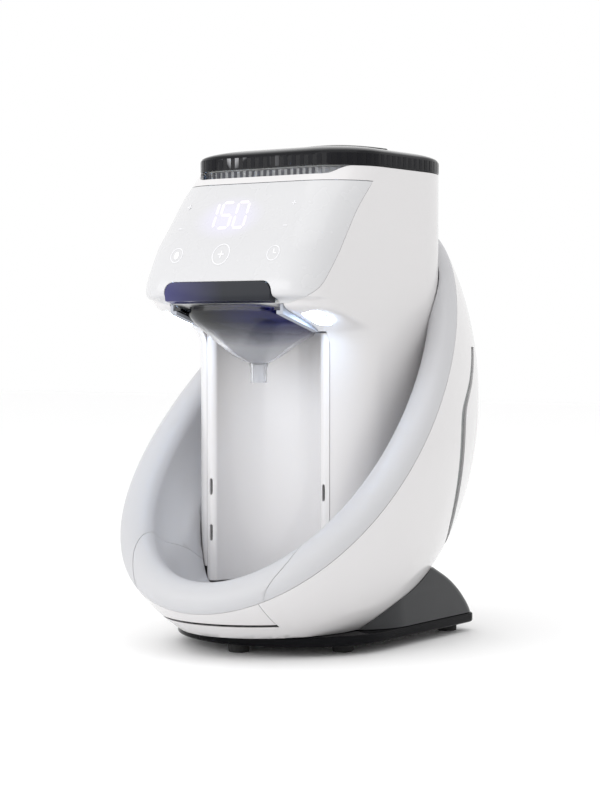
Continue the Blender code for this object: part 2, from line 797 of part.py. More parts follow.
def make_funnel(mats):
    outer = [funnel_ring(1.0, 0.0, 0.0), funnel_ring(0.985, 0.0, 0.16)]
    outer += [funnel_ring(0.62, 0.0, 0.5), funnel_ring(0.30, 0.0, 0.80), funnel_ring(0.0, 0.0, 1.0)]
    inner = [funnel_ring(1.0, FUNNEL_WALL, 0.0), funnel_ring(0.985, FUNNEL_WALL, 0.14)]
    inner += [funnel_ring(0.62, FUNNEL_WALL, 0.46), funnel_ring(0.30, FUNNEL_WALL, 0.77)]
    inner.append(funnel_ring(0.0, FUNNEL_WALL, 1.0))
    for rings, radius in ((outer, SPOUT_RADIUS), (inner, SPOUT_RADIUS - 1.4)):
        for z in (SPOUT_TOP - 3.0, SPOUT_BOTTOM):
            rings.append([(x, y, z) for x, y in circle(radius, 26, (0.0, SPOUT_Y))])
    funnel = loft("mixing_funnel", outer + inner[::-1], mats["smoke"], closed_profile=True)
    for sign in (-1, 1):
        top = funnel_top(SPOUT_Y)
        near, far = sign * (FUNNEL_HALF_WIDTH - 0.9), sign * FLANGE_HALF_WIDTH
        flange = [(near, top - 2.4), (far, top - 2.4), (far, top - 0.4), (near, top - 0.4)]
        join(funnel, sloped(f"flange_{sign}", flange, -70, -102, mats["smoke"]))
    sloped("funnel_handle", handle_outline(), HANDLE_Y[1], HANDLE_Y[0], mats["smoke"], HANDLE_Y[0])

    # Rails inside the head carry the flanges.
    top = funnel_top(SPOUT_Y)
    for side, sign in (("left", -1), ("right", 1)):
        section = [(38.4, top - 5.0), (43.0, top - 5.0), (43.0, top + 1.0), (41.0, top + 1.0),
                   (41.0, top - 2.9), (38.4, top - 2.9)]
        section = [(sign * x, z) for x, z in section]
        sloped(f"funnel_rail_{side}", section, -64.5, -103, mats["inner_white"])

    # Canopy over the funnel, with holes for powder and water.
    plan = [(-41.5, -103.0), (41.5, -103.0), (41.5, -66.0)]
    plan += [(37.5 * math.cos(a), -63.0 + 27.0 * math.sin(a))
             for a in (math.pi * i / 12 for i in range(13))]
    plan.append((-41.5, -66.0))
    rings = [[(x, y, funnel_top(y) + h) for x, y in plan] for h in (1.4, 3.4)]
    canopy = loft("funnel_canopy", rings, mats["inner_white"])
    for name, x, y, radius in (("powder", 0.0, -62.0, 9.5), ("water", 22.0, -78.0, 3.2)):
        cut(canopy, cylinder(f"{name}_port_cutter", (x, y), radius, 190, 230, mats["inner_white"]))
    chute = [(11.5, WHEEL_Y - POCKET_RING, 245.6), (11.0, -45.0, 232.0), (9.0, -62.0, 206.6)]
    rings = [[(x, y, z) for x, y in circle(r, 20, (0, cy))] for r, cy, z in chute]
    bore = [[(x, y, z) for x, y in circle(r - 1.6, 20, (0, cy))] for r, cy, z in chute[::-1]]
    loft("powder_chute", rings + bore, mats["inner_white"], closed_profile=True)


# ---- Powder unit ------------------------------------------------------------------


def make_hopper(mats):
    clear, axis = mats["clear"], (0.0, WHEEL_Y)
    hopper = prism("powder_hopper", tower_plan(-HOPPER_INSET, 4), 250.2, 299.2, clear)
    inside = tower_plan(-HOPPER_INSET - HOPPER_WALL, 4)
    cut(hopper, prism("hopper_cutter", inside, HOPPER_FLOOR + 2, 320, clear))
    cut(hopper, cylinder("wheel_room", axis, WHEEL_RADIUS + 1.5, 240, HOPPER_FLOOR, clear, segments=32))
    cut(hopper, cylinder("hub_hole", axis, 6.6, 240, 280, clear, segments=20))
    cut(hopper, cylinder("powder_hole", (0.0, WHEEL_Y + POCKET_RING), 8.0, 240, 280, clear, segments=20))

    wheel = cylinder("dosing_wheel", axis, WHEEL_RADIUS, WHEEL_BOTTOM, WHEEL_TOP, mats["satin_white"], segments=40)
    cut(wheel, cylinder("coupler_bore", axis, COUPLER_RADIUS + 0.6, 240, 255.4, clear, segments=6))
    for i in range(POCKET_COUNT):
        turn = 2 * math.pi * i / POCKET_COUNT
        centre = (POCKET_RING * math.cos(turn), WHEEL_Y + POCKET_RING * math.sin(turn))
        cut(wheel, cylinder(f"pocket_{i}", centre, 8.0, 240, 280, clear, segments=14))

    outline = []
    for i in range(TEETH):
        for share, radius in ((0.0, -4.0), (0.18, 0.0), (0.5, 0.0), (0.68, -4.0)):
            turn = 2 * math.pi * (i + share) / TEETH
            reach = TOOTHED_RADIUS + radius
            outline.append((reach * math.cos(turn), WHEEL_Y + reach * math.sin(turn)))
    stirrer = prism("stirrer", outline, 291.0, 298.0, mats["satin_white"])
    cut(stirrer, cylinder("ring_hole", axis, 49.0, 280, 310, clear, segments=30))
    join(stirrer, block("arm", (-50.5, WHEEL_Y - 3.5, 264.0), (50.5, WHEEL_Y + 3.5, 296.0), clear))
    cut(stirrer, block("arm_gap", (9, WHEEL_Y - 9, 272), (42, WHEEL_Y + 9, 310), clear))
    cut(stirrer, block("arm_gap_2", (-42, WHEEL_Y - 9, 272), (-9, WHEEL_Y + 9, 310), clear))
    join(stirrer, cylinder("stirrer_hub", axis, 5.8, 257.9, 297.5, clear, segments=20))

    cylinder("drive_coupler", axis, COUPLER_RADIUS, 243.4, 255.0, mats["dark_grey"], segments=6)
    motor = cylinder("dosing_motor", axis, 17.0, 206.0, 240.0, mats["steel"], segments=24)
    join(motor, cylinder("motor_boss", axis, 7.0, 240.0, 243.0, mats["steel"], segments=16))
    deck = prism("top_deck", tower_plan(-HOPPER_INSET, 4), DECK_BOTTOM, DECK_TOP, mats["inner_white"])
    cut(deck, cylinder("deck_hole", axis, 7.4, 240, 260, clear, segments=20))
    cut(deck, cylinder("drop_hole", (0.0, WHEEL_Y - POCKET_RING), 9.9, 240, 260, clear, segments=20))


def lid_rings(grow):
    """The lid's outlines, from its rim to its crown."""
    middle = (TOWER_FRONT + TOWER_BACK) / 2
    half_y = (TOWER_BACK - TOWER_FRONT) / 2
    rings = []
    for z, inset in LID_LEVELS:
        inset -= grow
        scale_x = (TOWER_HALF_WIDTH - inset) / TOWER_HALF_WIDTH
        scale_y = (half_y - inset) / half_y
        plan = tower_plan(0.0, 4)
        lift = grow if z > LID_BOTTOM else 0.0
        rings.append([(x * scale_x, middle + (y - middle) * scale_y, z + lift) for x, y in plan])
    return rings


def make_lid(mats):
    lid = loft("hopper_lid", lid_rings(0.0), mats["smoke"])
    inside = lid_rings(-LID_WALL)
    inside[0] = [(x, y, LID_BOTTOM - 5) for x, y, _ in inside[0]]
    cut(lid, loft("lid_cutter", inside, mats["smoke"]))

    rings = []
    for i in range(13):
        t = -1 + i / 6
        x, top, half = GRIP_HALF_LENGTH * t, GRIP_TOP - 4.2 * t * t, 11.5 * (1 - 0.7 * t**4)
        rings.append([(x, 5 - half, 308), (x, 5 + half, 308), (x, 5 + half, top - 1.5),
                      (x, 5 + half * 0.6, top), (x, 5 - half * 0.6, top), (x, 5 - half, top - 1.5)])
    grip = loft("lid_grip", rings, mats["gloss_black"])
    cut(grip, loft("grip_cutter", lid_rings(0.35), mats["smoke"]))
    seal = prism("lid_seal", tower_plan(-HOPPER_INSET, 4), 299.5, 302.0, mats["silicone"])
    cut(seal, prism("seal_cutter", tower_plan(-HOPPER_INSET - 2.2, 4), 290, 310, mats["silicone"]))


# ---- Water tank -------------------------------------------------------------------


def make_tank(mats):
    grey = mats["grey_tank"]
    cover = cradle_shell("tank_cover", 0.0, 2.6, mats["gloss_white"])
    keep(cover, prism("cover_keeper", tank_outline(TANK_COVER_STEP, GAP), -150, 150, grey, "X"))

    def solid(name, wall):
        """The tank's body, or the room inside it when a wall is given."""
        egg = cradle_egg(name, TANK_SKIN + wall, grey)
        side = tank_outline(inset=0.9 + wall)
        keep(egg, prism(f"{name}_keeper", side, -150, 150, grey, "X"))
        cut(egg, block(f"{name}_floor", (-150, -50, 0), (150, 200, TANK_FLOOR + wall), grey))
        cut(egg, block(f"{name}_ceiling", (-150, -50, TANK_TOP - wall), (150, 200, 300), grey))
        half, low, high = TANK_NECK_HALF_WIDTH - wall, TANK_NECK_Z[0] + wall, TANK_NECK_Z[1] - wall
        neck = block(f"{name}_neck", (-half, TANK_NECK_FRONT + wall, low), (half, 200, high), grey)
        tower = prism(f"{name}_tower", tower_plan(2.0 + wall), 0, 400, grey)
        cut(egg, cut(tower, neck))
        under = block(f"{name}_under", (-half, 0, low), (half, TOWER_BACK - 1, high), grey)
        return cut(egg, cut(basin_cutter(f"{name}_basin", LINER_WALL + 2.2 + wall, grey), under))

    tank = solid("water_tank", 0.0)
    cut(tank, helper(solid("tank_room", TANK_WALL)))
    band = cradle_shell("band", TANK_RECESS, TANK_SKIN + 1.2, grey)
    keep(band, prism("band_keeper", tank_outline(inset=GAP), -150, 150, grey, "X"))
    cut(band, prism("band_cutter", tank_outline(TANK_COVER_STEP - 0.2), -150, 150, grey, "X"))
    join(tank, band)
    cut(tank, cylinder("fill_hole", (0.0, FILL_Y), FILL_RADIUS, 150, 200, grey, segments=24))
    cut(tank, cylinder("valve_hole", (0.0, VALVE_Z), 6.4, 20, 50, grey, "Y", 20))
    profile = ((0, 179.0), (11.6, 179.0), (11.6, 183.4), (13.5, 183.4), (13.5, 185.2), (0, 185.2))
    turned("tank_lid", profile, (0.0, FILL_Y), mats["silicone"], 24)

    body = cylinder("valve_body", (0.0, VALVE_Z), 6.0, 25.0, 38.0, mats["inner_white"], "Y", 20)
    cut(body, cylinder("valve_bore", (0.0, VALVE_Z), 4.4, 26.6, 45.0, grey, "Y", 16))
    cut(body, cylinder("valve_mouth", (0.0, VALVE_Z), 2.6, 20.0, 30.0, grey, "Y", 16))
    plunger = cylinder("valve_plunger", (0.0, VALVE_Z), 2.2, 23.6, 34.0, mats["silicone"], "Y", 16)
    join(plunger, cylinder("plunger_head", (0.0, VALVE_Z), 3.9, 27.0, 29.0, mats["silicone"], "Y", 16))
    wire = []
    for i in range(33):
        turn, along = 2 * math.pi * i / 8, 29.8 + 5.6 * i / 32
        wire.append((3.1 * math.cos(turn), along, VALVE_Z + 3.1 * math.sin(turn)))
    spring = hose("valve_spring", wire, 0.35, mats["steel"], 1)
    spring.data.bevel_resolution = 0


# ---- Inside -----------------------------------------------------------------------


def make_inside(mats):
    white = mats["inner_white"]
    chassis = prism("chassis", tower_plan(-3.2, 4), 52.0, 55.0, white)
    niche = niche_arc(BAY_WALL + 1.0) + [(-50.0, -80.0), (50.0, -80.0)]
    cut(chassis, prism("chassis_niche", niche, 40, 70, white))
    neck = TANK_NECK_HALF_WIDTH + 2
    cut(chassis, block("chassis_neck", (-neck, 29, 40), (neck, 90, 70), white))
    keep(chassis, cradle_egg("chassis_keeper", CRADLE_WALL + 1.0, white))

    pump = cylinder("water_pump", (27.0, 4.0), 15.0, 56.0, 92.0, mats["dark_grey"], segments=24)
    join(pump, cylinder("pump_outlet", (27.0, 4.0), 4.0, 91.0, 98.0, mats["dark_grey"], segments=12))
    port = block("water_inlet_port", (-8, 12.0, 64.0), (8, 22.8, 84.0), white, 1.5)
    cut(port, cylinder("port_bore", (0.0, VALVE_Z), 3.0, 15.0, 30.0, white, "Y", 16))
    block("heater_block", (-30, -20, 118), (22, 22, 146), mats["steel"], 4.0, 2)
    block("main_board", (54, -28, 80), (55.6, 24, 190), mats["circuit"])
    hose("inlet_hose", ((-8.6, 16, 74), (-20, 14, 74), (-22, -2, 70), (-6, -12, 66), (11.4, -2, 64)), 3.0,
         mats["silicone"])
    hose("pump_hose", ((27, 4, 98.8), (26, 4, 105), (18, 2, 109), (6, 0, 111), (0, 0, 115.4)), 3.0,
         mats["silicone"])
    hose("outlet_hose", ((10, 0, 146.8), (14, -4, 170), (22, -20, 196), (24, -50, 220), (22, -75, 222),
         (22, -78, 217.4)), 2.6, mats["silicone"])
    profile = ((2.8, 214.8), (2.8, 210.0), (1.6, 207.9), (0.9, 207.9), (0.9, 214.8))
    turned("water_nozzle", profile, (22.0, -78.0), mats["steel"], 16, closed_profile=True)
    board = ((-98.3, 240), (-73.4, 279), (-72.0, 278.1), (-96.9, 239.1))
    prism("display_board", board, -46, 46, mats["circuit"], "X")
    module = ((-93.0, 257), (-79.2, 277), (-76.4, 275), (-90.2, 255))
    prism("display_module", module, -21, 21, mats["gloss_black"], "X")


# ---- Run --------------------------------------------------------------------------


def clear_scene():
    for old in list(bpy.data.objects):
        bpy.data.objects.remove(old)


def main():
    clear_scene()
    mats = make_materials()
    make_base(mats)
    make_inlet(mats)
    make_cradle(mats)
    make_tray(mats)
    make_tower(mats)
    make_bay(mats)
    make_funnel(mats)
    make_hopper(mats)
    make_lid(mats)
    make_tank(mats)
    make_inside(mats)


main()
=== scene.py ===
# %% [markdown]
# # A baby formula machine
# An upright white tower stands in a tilted, egg-shaped cradle. Its head leans out over the
# bottle bay and carries a touch panel, and a smoked lid closes the powder hopper on top.
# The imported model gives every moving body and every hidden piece. This lesson rebuilds
# the skins that are seen, from the same few dimensions, with finer surfaces and finishes.

# %% Load the frame
import json
import math
import bmesh
import bpy
import numpy as np
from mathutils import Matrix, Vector


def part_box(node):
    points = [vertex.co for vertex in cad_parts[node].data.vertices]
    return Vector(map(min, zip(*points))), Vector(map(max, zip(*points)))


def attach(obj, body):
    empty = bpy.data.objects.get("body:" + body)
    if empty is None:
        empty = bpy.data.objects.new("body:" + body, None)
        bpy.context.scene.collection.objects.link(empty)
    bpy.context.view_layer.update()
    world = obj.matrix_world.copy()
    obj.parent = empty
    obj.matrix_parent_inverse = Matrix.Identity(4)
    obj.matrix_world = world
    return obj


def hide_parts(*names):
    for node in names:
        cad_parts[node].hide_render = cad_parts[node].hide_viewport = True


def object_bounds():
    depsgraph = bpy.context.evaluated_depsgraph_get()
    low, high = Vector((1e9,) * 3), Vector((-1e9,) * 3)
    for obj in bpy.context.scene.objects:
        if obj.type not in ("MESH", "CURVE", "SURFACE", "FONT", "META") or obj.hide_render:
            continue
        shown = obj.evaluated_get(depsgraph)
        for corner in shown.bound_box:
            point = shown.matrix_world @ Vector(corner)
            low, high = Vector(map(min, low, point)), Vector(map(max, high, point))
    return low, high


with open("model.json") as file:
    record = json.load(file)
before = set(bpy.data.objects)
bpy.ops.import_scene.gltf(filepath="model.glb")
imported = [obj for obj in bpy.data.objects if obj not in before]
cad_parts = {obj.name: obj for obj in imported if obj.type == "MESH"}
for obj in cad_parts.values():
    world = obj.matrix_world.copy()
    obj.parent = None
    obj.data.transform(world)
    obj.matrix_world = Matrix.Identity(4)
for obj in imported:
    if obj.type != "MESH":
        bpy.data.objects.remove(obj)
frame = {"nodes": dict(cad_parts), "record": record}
CAD_LOW, CAD_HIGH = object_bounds()
RECORD = frame["record"]
BODY_OF = {n: b for b, nodes in RECORD["behaviour"]["bodies"].items() for n in nodes}
SLOT_OF = {row["node"]: row["material_slot"] for row in RECORD["subparts"]}
print("nodes", len(frame["nodes"]), "box in mm", [round(v * 1000, 1) for v in CAD_HIGH - CAD_LOW])

# %% [markdown]
# ## Driving dimensions
# Lengths are millimetres, as on a drawing, and turn into metres where a mesh is made. They
# are the ones the solid model was drawn from, so each fine skin lands on its own solid.

# %% Dimensions
MM = 0.001
CENTRING = 1.73  # moves the drawing's origin to the middle of the whole machine
GAP = 0.4  # between pieces that part
CRADLE = {"y": -20.0, "z": 150.6, "tilt": math.radians(45.8), "taper": -0.21}
CRADLE_HALF = (102.0, 170.0)  # across the rim, and along its slope
CRADLE_DEPTH = 145.0
CRADLE_WALL = 3.0
FRONT_HALF = 45.0  # the panel under the drip tray
FRONT_SLIT = (21.2, 22.8)
BEAD = (22.0, 10.0)  # width and rise of the rolled rim
LINER_WALL = 2.5
BASIN_DEPTH = 56.0
POCKET = {"y": -74.0, "half": (43.0, 40.0), "floor": 37.0, "edge": 0.35}
TOWER_HALF = 67.0
TOWER_Y = (-63.0, 73.0)
TOWER_RADII = (32.0, 52.0)
TOWER_WALL = 2.5
TOWER_Z = (47.0, 299.6)
HEAD_LEVELS = (  # height, front, corner radius
    (190.0, -63.0, 32.0), (195.0, -65.0, 32.0), (200.0, -70.0, 31.0), (206.0, -85.0, 28.0),
    (211.5, -100.0, 24.0), (216.7, -105.0, 22.0), (219.5, -111.0, 22.0), (225.0, -112.0, 22.0),
    (233.0, -109.5, 23.0), (249.5, -102.0, 25.0), (264.0, -91.5, 27.0), (281.0, -80.0, 30.0),
    (290.0, -72.0, 31.5), (299.6, -63.0, 32.0),
)
CHIN = (190.0, 218.0)
FASCIA_TOP = 290.4
FASCIA_SEAM = (  # y and z, from the panel's top edge to its lip
    (-41.0, 290.4), (-57.0, 274.0), (-67.0, 261.0), (-77.0, 247.0), (-87.0, 235.0),
    (-95.0, 226.0), (-103.0, 219.6),
)
FRONT_EDGE = 294.4
LENS = (53.5, -82.0)  # where each lamp sits under the head
NICHE = (40.5, 31.0)  # half width and depth of the bay's half ellipse
BAY_HALF = 47.6
BAY_Z = (38.2, 197.0)
BAY_WALL = 2.2
SLOT_HEIGHTS = (69.0, 98.5)
SPOUT_Y = -69.0
FUNNEL_SLOPE = math.tan(math.radians(16))
HANDLE = {"half": 40.6, "y": (-112.4, -106.2), "z": (216.6, 228.2), "radius": 7.0}
WHEEL_Y = 4.5
LID_LEVELS = (  # height and inset
    (300.0, 0.0), (307.6, 0.0), (309.4, 1.4), (311.2, 6.0), (313.0, 15.0),
    (314.4, 28.0), (315.0, 42.0),
)
LID_WALL = 2.2
HOPPER_INSET = 3.2
PLATE_Z = (6.0, 12.4)
SOCKET_ROOM = ((-13.6, 30.0, 12.0), (13.6, 90.0, 28.0))
TANK_WALL = 2.4
TANK_SKIN = 3.3  # how far the tank lies inside the cradle's skin
TANK_NECK = (47.0, 32.0, 62.0, 158.0)  # half width, front, bottom and top
FILL = (0.0, 104.0)
VALVE = (0.0, 74.0)
COVER_WALL = 2.6
COVER_STEP = 10.0  # how much of the tank shows in front of its cover
TANK_SEAM = (  # y and z of the tank's front edge
    (44.0, 57.0), (31.0, 61.0), (21.0, 71.5), (16.5, 82.0), (14.3, 96.0), (13.8, 112.0),
    (14.2, 130.0), (15.6, 142.0), (19.0, 149.5), (26.5, 156.5), (38.5, 166.0),
    (51.0, 178.5), (59.0, 188.0),
)
print("tower", TOWER_Z[1] - TOWER_Z[0], "mm tall; cradle tilted", round(math.degrees(CRADLE["tilt"]), 1))

# %% [markdown]
# ## A small language for finishes
# A finish is a node tree. Wire lets its sums be written as sums, and Paint holds one
# Principled shader. Numbers that never vary are set on the shader's own sockets.


# %% Finish tools
class Wire:
    """One output in a node tree, which the usual signs add maths nodes to."""

    def __init__(self, paint, socket):
        self.paint = paint
        self.socket = socket

    def sum(self, operation, a, b, clamp=False):
        return self.paint.node("Math", {"operation": operation, "use_clamp": clamp}, {0: a, 1: b})

    def __add__(self, other):
        return self.sum("ADD", self, other)

    def __sub__(self, other):
        return self.sum("SUBTRACT", self, other)

    def __rsub__(self, other):
        return self.sum("SUBTRACT", other, self)

    def __mul__(self, other):
        return self.sum("MULTIPLY", self, other)

    def __truediv__(self, other):
        return self.sum("DIVIDE", self, other)

    def __pow__(self, other):
        return self.sum("POWER", self, other)

    def held(self):
        """The same value, kept between 0 and 1."""
        return self.sum("ADD", self, 0.0, clamp=True)


class Paint:
    """One finish: a Principled shader, and the nodes that vary it over the surface."""

    def __init__(self, name, **constants):
        self.material = bpy.data.materials.new(name)
        self.material.use_nodes = True
        self.tree = self.material.node_tree
        self.shader = self.tree.nodes["Principled BSDF"]
        for socket, value in constants.items():
            self.shader.inputs[socket.replace("_", " ")].default_value = value
        self.spot = self.node("TexCoord", out="Object")

    def node(self, kind, settings=None, inputs=None, out=0):
        made = self.tree.nodes.new("ShaderNode" + kind)
        for key, value in (settings or {}).items():
            setattr(made, key, value)
        for key, value in (inputs or {}).items():
            self.feed(made.inputs[key], value)
        return Wire(self, made.outputs[out])

    def feed(self, socket, value):
        if isinstance(value, Wire):
            self.tree.links.new(value.socket, socket)
        else:
            socket.default_value = value

    def set(self, **wires):
        for socket, value in wires.items():
            self.feed(self.shader.inputs[socket.replace("_", " ")], value)
        return self.material

    def noise(self, scale, detail=3.0, stretch=(1.0, 1.0, 1.0)):
        at = self.node("Mapping", None, {"Vector": self.spot, "Scale": stretch})
        return self.node("TexNoise", None, {"Vector": at, "Scale": scale, "Detail": detail}, "Fac")

    def axis(self, letter):
        return self.node("SeparateXYZ", None, {0: self.spot}, letter)

    def blend(self, factor, first, second):
        """A colour between two, each given as three numbers or as a wire."""
        ends = [end if isinstance(end, Wire) else (*end, 1.0) for end in (first, second)]
        return self.node("Mix", {"data_type": "RGBA"}, {0: factor, 6: ends[0], 7: ends[1]}, 2)

    def bump(self, height, strength, distance):
        inputs = {"Strength": strength, "Distance": distance, "Height": height}
        return self.node("Bump", None, inputs, "Normal")


# %% [markdown]
# ## Moulded plastics
# Shell mouldings leave a polished tool, so they are glossy with the faintest ripple. The
# rim and liner come from a fine-textured tool, which scatters light. Each colour drifts a
# little over the surface, as resin does, and each roughness varies as handling leaves it.


# %% Moulded finishes
def moulded(name, light, dark, rough, grain, coat=0.0, size=900.0, **more):
    """A moulded plastic: two close tones, an uneven gloss and a fine surface grain."""
    paint = Paint(name, Coat_Weight=coat, Coat_Roughness=0.06, IOR=1.5, **more)
    drift = paint.noise(14.0, 2.0)
    handled = paint.noise(55.0, 4.0)
    fine = paint.noise(size, 2.0)
    return paint.set(
        Base_Color=paint.blend(drift, light, dark),
        Roughness=(handled * 0.35 + 0.83) * rough,
        Normal=paint.bump(fine, grain, 0.0004),
    )


def clear_moulding(name, tint, rough, through, **more):
    """A see-through moulding, with flow lines from the gate."""
    paint = Paint(name, Transmission_Weight=through, IOR=1.49, **more)
    flow = paint.noise(26.0, 2.0, (1.0, 1.0, 0.25))
    deeper = tuple(c * 0.86 for c in tint)
    return paint.set(
        Base_Color=paint.blend(flow, tint, deeper),
        Roughness=(flow * 0.5 + 0.75) * rough,
        Normal=paint.bump(flow, 0.04, 0.0006),
    )


FINISH = {
    "gloss_white": moulded("gloss_white", (0.68, 0.668, 0.67), (0.655, 0.643, 0.646), 0.2, 0.02, 0.3),
    "satin_white": moulded("satin_white", (0.53, 0.53, 0.545), (0.50, 0.50, 0.515), 0.42, 0.12, size=1600.0),
    "inner_white": moulded("inner_white", (0.70, 0.70, 0.69), (0.66, 0.66, 0.65), 0.5, 0.15),
    "gloss_black": moulded("gloss_black", (0.004, 0.004, 0.005), (0.006, 0.006, 0.007), 0.1, 0.02,
                           Specular_IOR_Level=0.05),
    "dark_grey": moulded("dark_grey", (0.030, 0.031, 0.033), (0.024, 0.025, 0.027), 0.36, 0.14, size=1400.0,
                         Specular_IOR_Level=0.3),
    "rubber": moulded("rubber", (0.014, 0.014, 0.014), (0.02, 0.02, 0.02), 0.8, 0.3, size=1200.0),
    "silicone": moulded("silicone", (0.48, 0.48, 0.47), (0.43, 0.43, 0.42), 0.6, 0.1, size=700.0),
    "smoke": clear_moulding("smoke", (0.010, 0.010, 0.012), 0.10, 0.2, Specular_IOR_Level=0.06),
    "clear": clear_moulding("clear", (0.90, 0.91, 0.92), 0.05, 0.7),
    "grey_tank": clear_moulding("grey_tank", (0.34, 0.36, 0.36), 0.16, 0.35),
}
print("moulded finishes", len(FINISH))

# %% [markdown]
# ## Lit, metal and printed finishes
# The touch panel is a milky window: the display's violet light spreads in it round the
# digits. The lamps are frosted lenses lit from behind. The funnel is smoked plastic with
# the lamps' blue painted into its colour on one side, as painted light. Steel is brushed,
# and the boards carry tracks. Some pieces have a finish of their own: the funnel, its bar
# with the left lamp's violet painted on as colour and glow, and its rails, the digits and
# marks, the ribs with their painted highlights, and the near-black pieces painted as
# shade in the hollows behind the bay's slots.


# %% Other finishes
def panel_finish():
    """Milky white, with a violet glow round the digits."""
    paint = Paint("panel_white", Coat_Weight=0.3, Coat_Roughness=0.16, Emission_Strength=1.0)
    across, height = paint.axis("X"), paint.axis("Z")
    away = ((across + 0.008) / 0.028) ** 2.0 + ((height - 0.268) / 0.015) ** 2.0
    glow = (1.0 - away).held() ** 1.5
    return paint.set(
        Base_Color=paint.blend(paint.noise(14.0), (0.60, 0.60, 0.61), (0.58, 0.58, 0.592)),
        Roughness=paint.noise(60.0) * 0.06 + 0.24,
        Emission_Color=paint.blend(glow, (0.0, 0.0, 0.0), (0.07, 0.05, 0.18)),
    )


def lamp_finish():
    paint = Paint("light_lens", Emission_Strength=22.0)
    cloud = paint.noise(160.0, 2.0)
    return paint.set(
        Base_Color=paint.blend(cloud, (0.75, 0.85, 1.0), (0.85, 0.92, 1.0)),
        Emission_Color=paint.blend(cloud, (0.42, 0.62, 1.0), (0.62, 0.78, 1.0)),
        Roughness=cloud * 0.2 + 0.25,
    )


def cup_finish():
    """Clear at the spout and smoked towards the mouth, with painted light: the right lamp's blue painted
    into the smoke beside it.
    """
    paint = Paint("funnel_smoke_and_painted_blue", Transmission_Weight=0.94, IOR=1.49)
    up = ((paint.axis("Z") - 0.188) / 0.016 + (paint.noise(30.0) - 0.5) * 0.2).held()
    # Painted light: the smoke's colour turns blue towards the right, in place of the right lamp's light.
    right = (paint.axis("X") / 0.05 + 0.3).held()
    smoke = paint.blend(right, (0.02, 0.024, 0.034), (0.02, 0.024, 0.24))
    clear = paint.blend(paint.noise(18.0), (0.90, 0.91, 0.93), (0.86, 0.87, 0.90))
    return paint.set(
        Base_Color=paint.blend(up, clear, smoke),
        Roughness=paint.noise(90.0) * 0.08 + 0.04,
    )


def bar_finish():
    """Dark smoked plastic, with painted light: the left lamp's violet painted on towards the left, as colour
    and as a painted glow.
    """
    paint = Paint("handle_smoke_and_painted_glow", Transmission_Weight=0.1, IOR=1.49, Emission_Strength=1.0,
                  Specular_IOR_Level=0.16)
    # Painted light: towards the left the colour turns violet and the bar glows, in place of the left lamp's
    # light.
    side = (paint.axis("X") / -0.06 + 0.1 + (paint.noise(40.0) - 0.5) * 0.1).held()
    return paint.set(
        Base_Color=paint.blend(side, (0.018, 0.020, 0.026), (0.06, 0.06, 0.15)),
        Emission_Color=paint.blend(side ** 2.0, (0.0, 0.0, 0.0), (0.03, 0.028, 0.10)),
        Roughness=paint.noise(90.0) * 0.1 + 0.10,
    )


def steel_finish():
    paint = Paint("steel", Metallic=1.0)
    brush = paint.noise(220.0, 3.0, (1.0, 1.0, 14.0))
    return paint.set(
        Base_Color=paint.blend(brush, (0.52, 0.52, 0.53), (0.62, 0.62, 0.63)),
        Roughness=brush * 0.2 + 0.24,
        Normal=paint.bump(brush, 0.15, 0.0002),
    )


def board_finish():
    paint = Paint("circuit", Coat_Weight=0.4)
    cells = {"Vector": paint.spot, "Scale": 170.0}
    track = paint.node("TexVoronoi", {"distance": "MANHATTAN"}, cells, "Distance")
    line = ((track - 0.34) * 14.0).held()
    return paint.set(
        Base_Color=paint.blend(line, (0.006, 0.07, 0.03), (0.02, 0.20, 0.09)),
        Roughness=line * -0.15 + 0.5,
        Normal=paint.bump(line, 0.3, 0.0001),
    )


def rib_finish_with_painted_glints(name, dark, light, reach):
    """Ribs with painted highlights: some are painted light as glints and some stay dark, painted brightest
    on the left.
    """
    paint = Paint(name, Specular_IOR_Level=0.08)
    # Painted highlights: a noise picks which ribs are painted light, and more of them on the left.
    painted_glints = ((paint.noise(46.0, 1.0) - 0.5) * 9.0).held()
    left = (paint.axis("X") / -0.05 + reach).held()
    return paint.set(
        Base_Color=paint.blend(painted_glints * left, dark, light),
        Roughness=paint.noise(200.0) * 0.1 + 0.12,
    )


def glow_finish(name, colour, strength):
    """A lit mark that gives light and has no colour of its own."""
    paint = Paint(name, Emission_Strength=strength)
    flicker = paint.noise(300.0, 1.0)
    dimmer = tuple(c * 0.85 for c in colour)
    return paint.set(Base_Color=(0.0, 0.0, 0.0, 1.0), Emission_Color=paint.blend(flicker, colour, dimmer))


FINISH["panel_white"] = panel_finish()
FINISH["light_lens"] = lamp_finish()
FINISH["steel"] = steel_finish()
FINISH["circuit"] = board_finish()
CUP_FINISH = cup_finish()
BAR_FINISH = bar_finish()
DIGIT_FINISH = glow_finish("digit_glow", (0.97, 0.92, 1.0), 1.15)
RAIL_FINISH = moulded("rail_white", (0.42, 0.44, 0.48), (0.38, 0.40, 0.45), 0.5, 0.1)
PRINT_FINISH = moulded("panel_print", (0.86, 0.86, 0.88), (0.78, 0.78, 0.80), 0.3, 0.02)
# Both rib finishes paint highlights onto the ribs.
RIB_FINISH = rib_finish_with_painted_glints("rib_grey", (0.010, 0.010, 0.012), (0.34, 0.34, 0.35), 0.35)
TOOTH_FINISH = rib_finish_with_painted_glints("tooth_clear", (0.10, 0.10, 0.11), (0.86, 0.86, 0.87), 1.2)
# Painted shade: a near-black finish for the pieces behind the bay's slots, in place of the shade inside
# them.
SLOT_SHADE_FINISH = moulded("painted_slot_shade", (0.002, 0.002, 0.002), (0.003, 0.003, 0.003), 0.9, 0.02,
                        Specular_IOR_Level=0.02)

for node, slot in SLOT_OF.items():
    shown = frame["nodes"][node].data.materials
    shown.clear()
    shown.append(RAIL_FINISH if node.startswith("funnel_rail") else FINISH[slot])
print("slot finishes", len(FINISH), "on", len(SLOT_OF), "nodes")

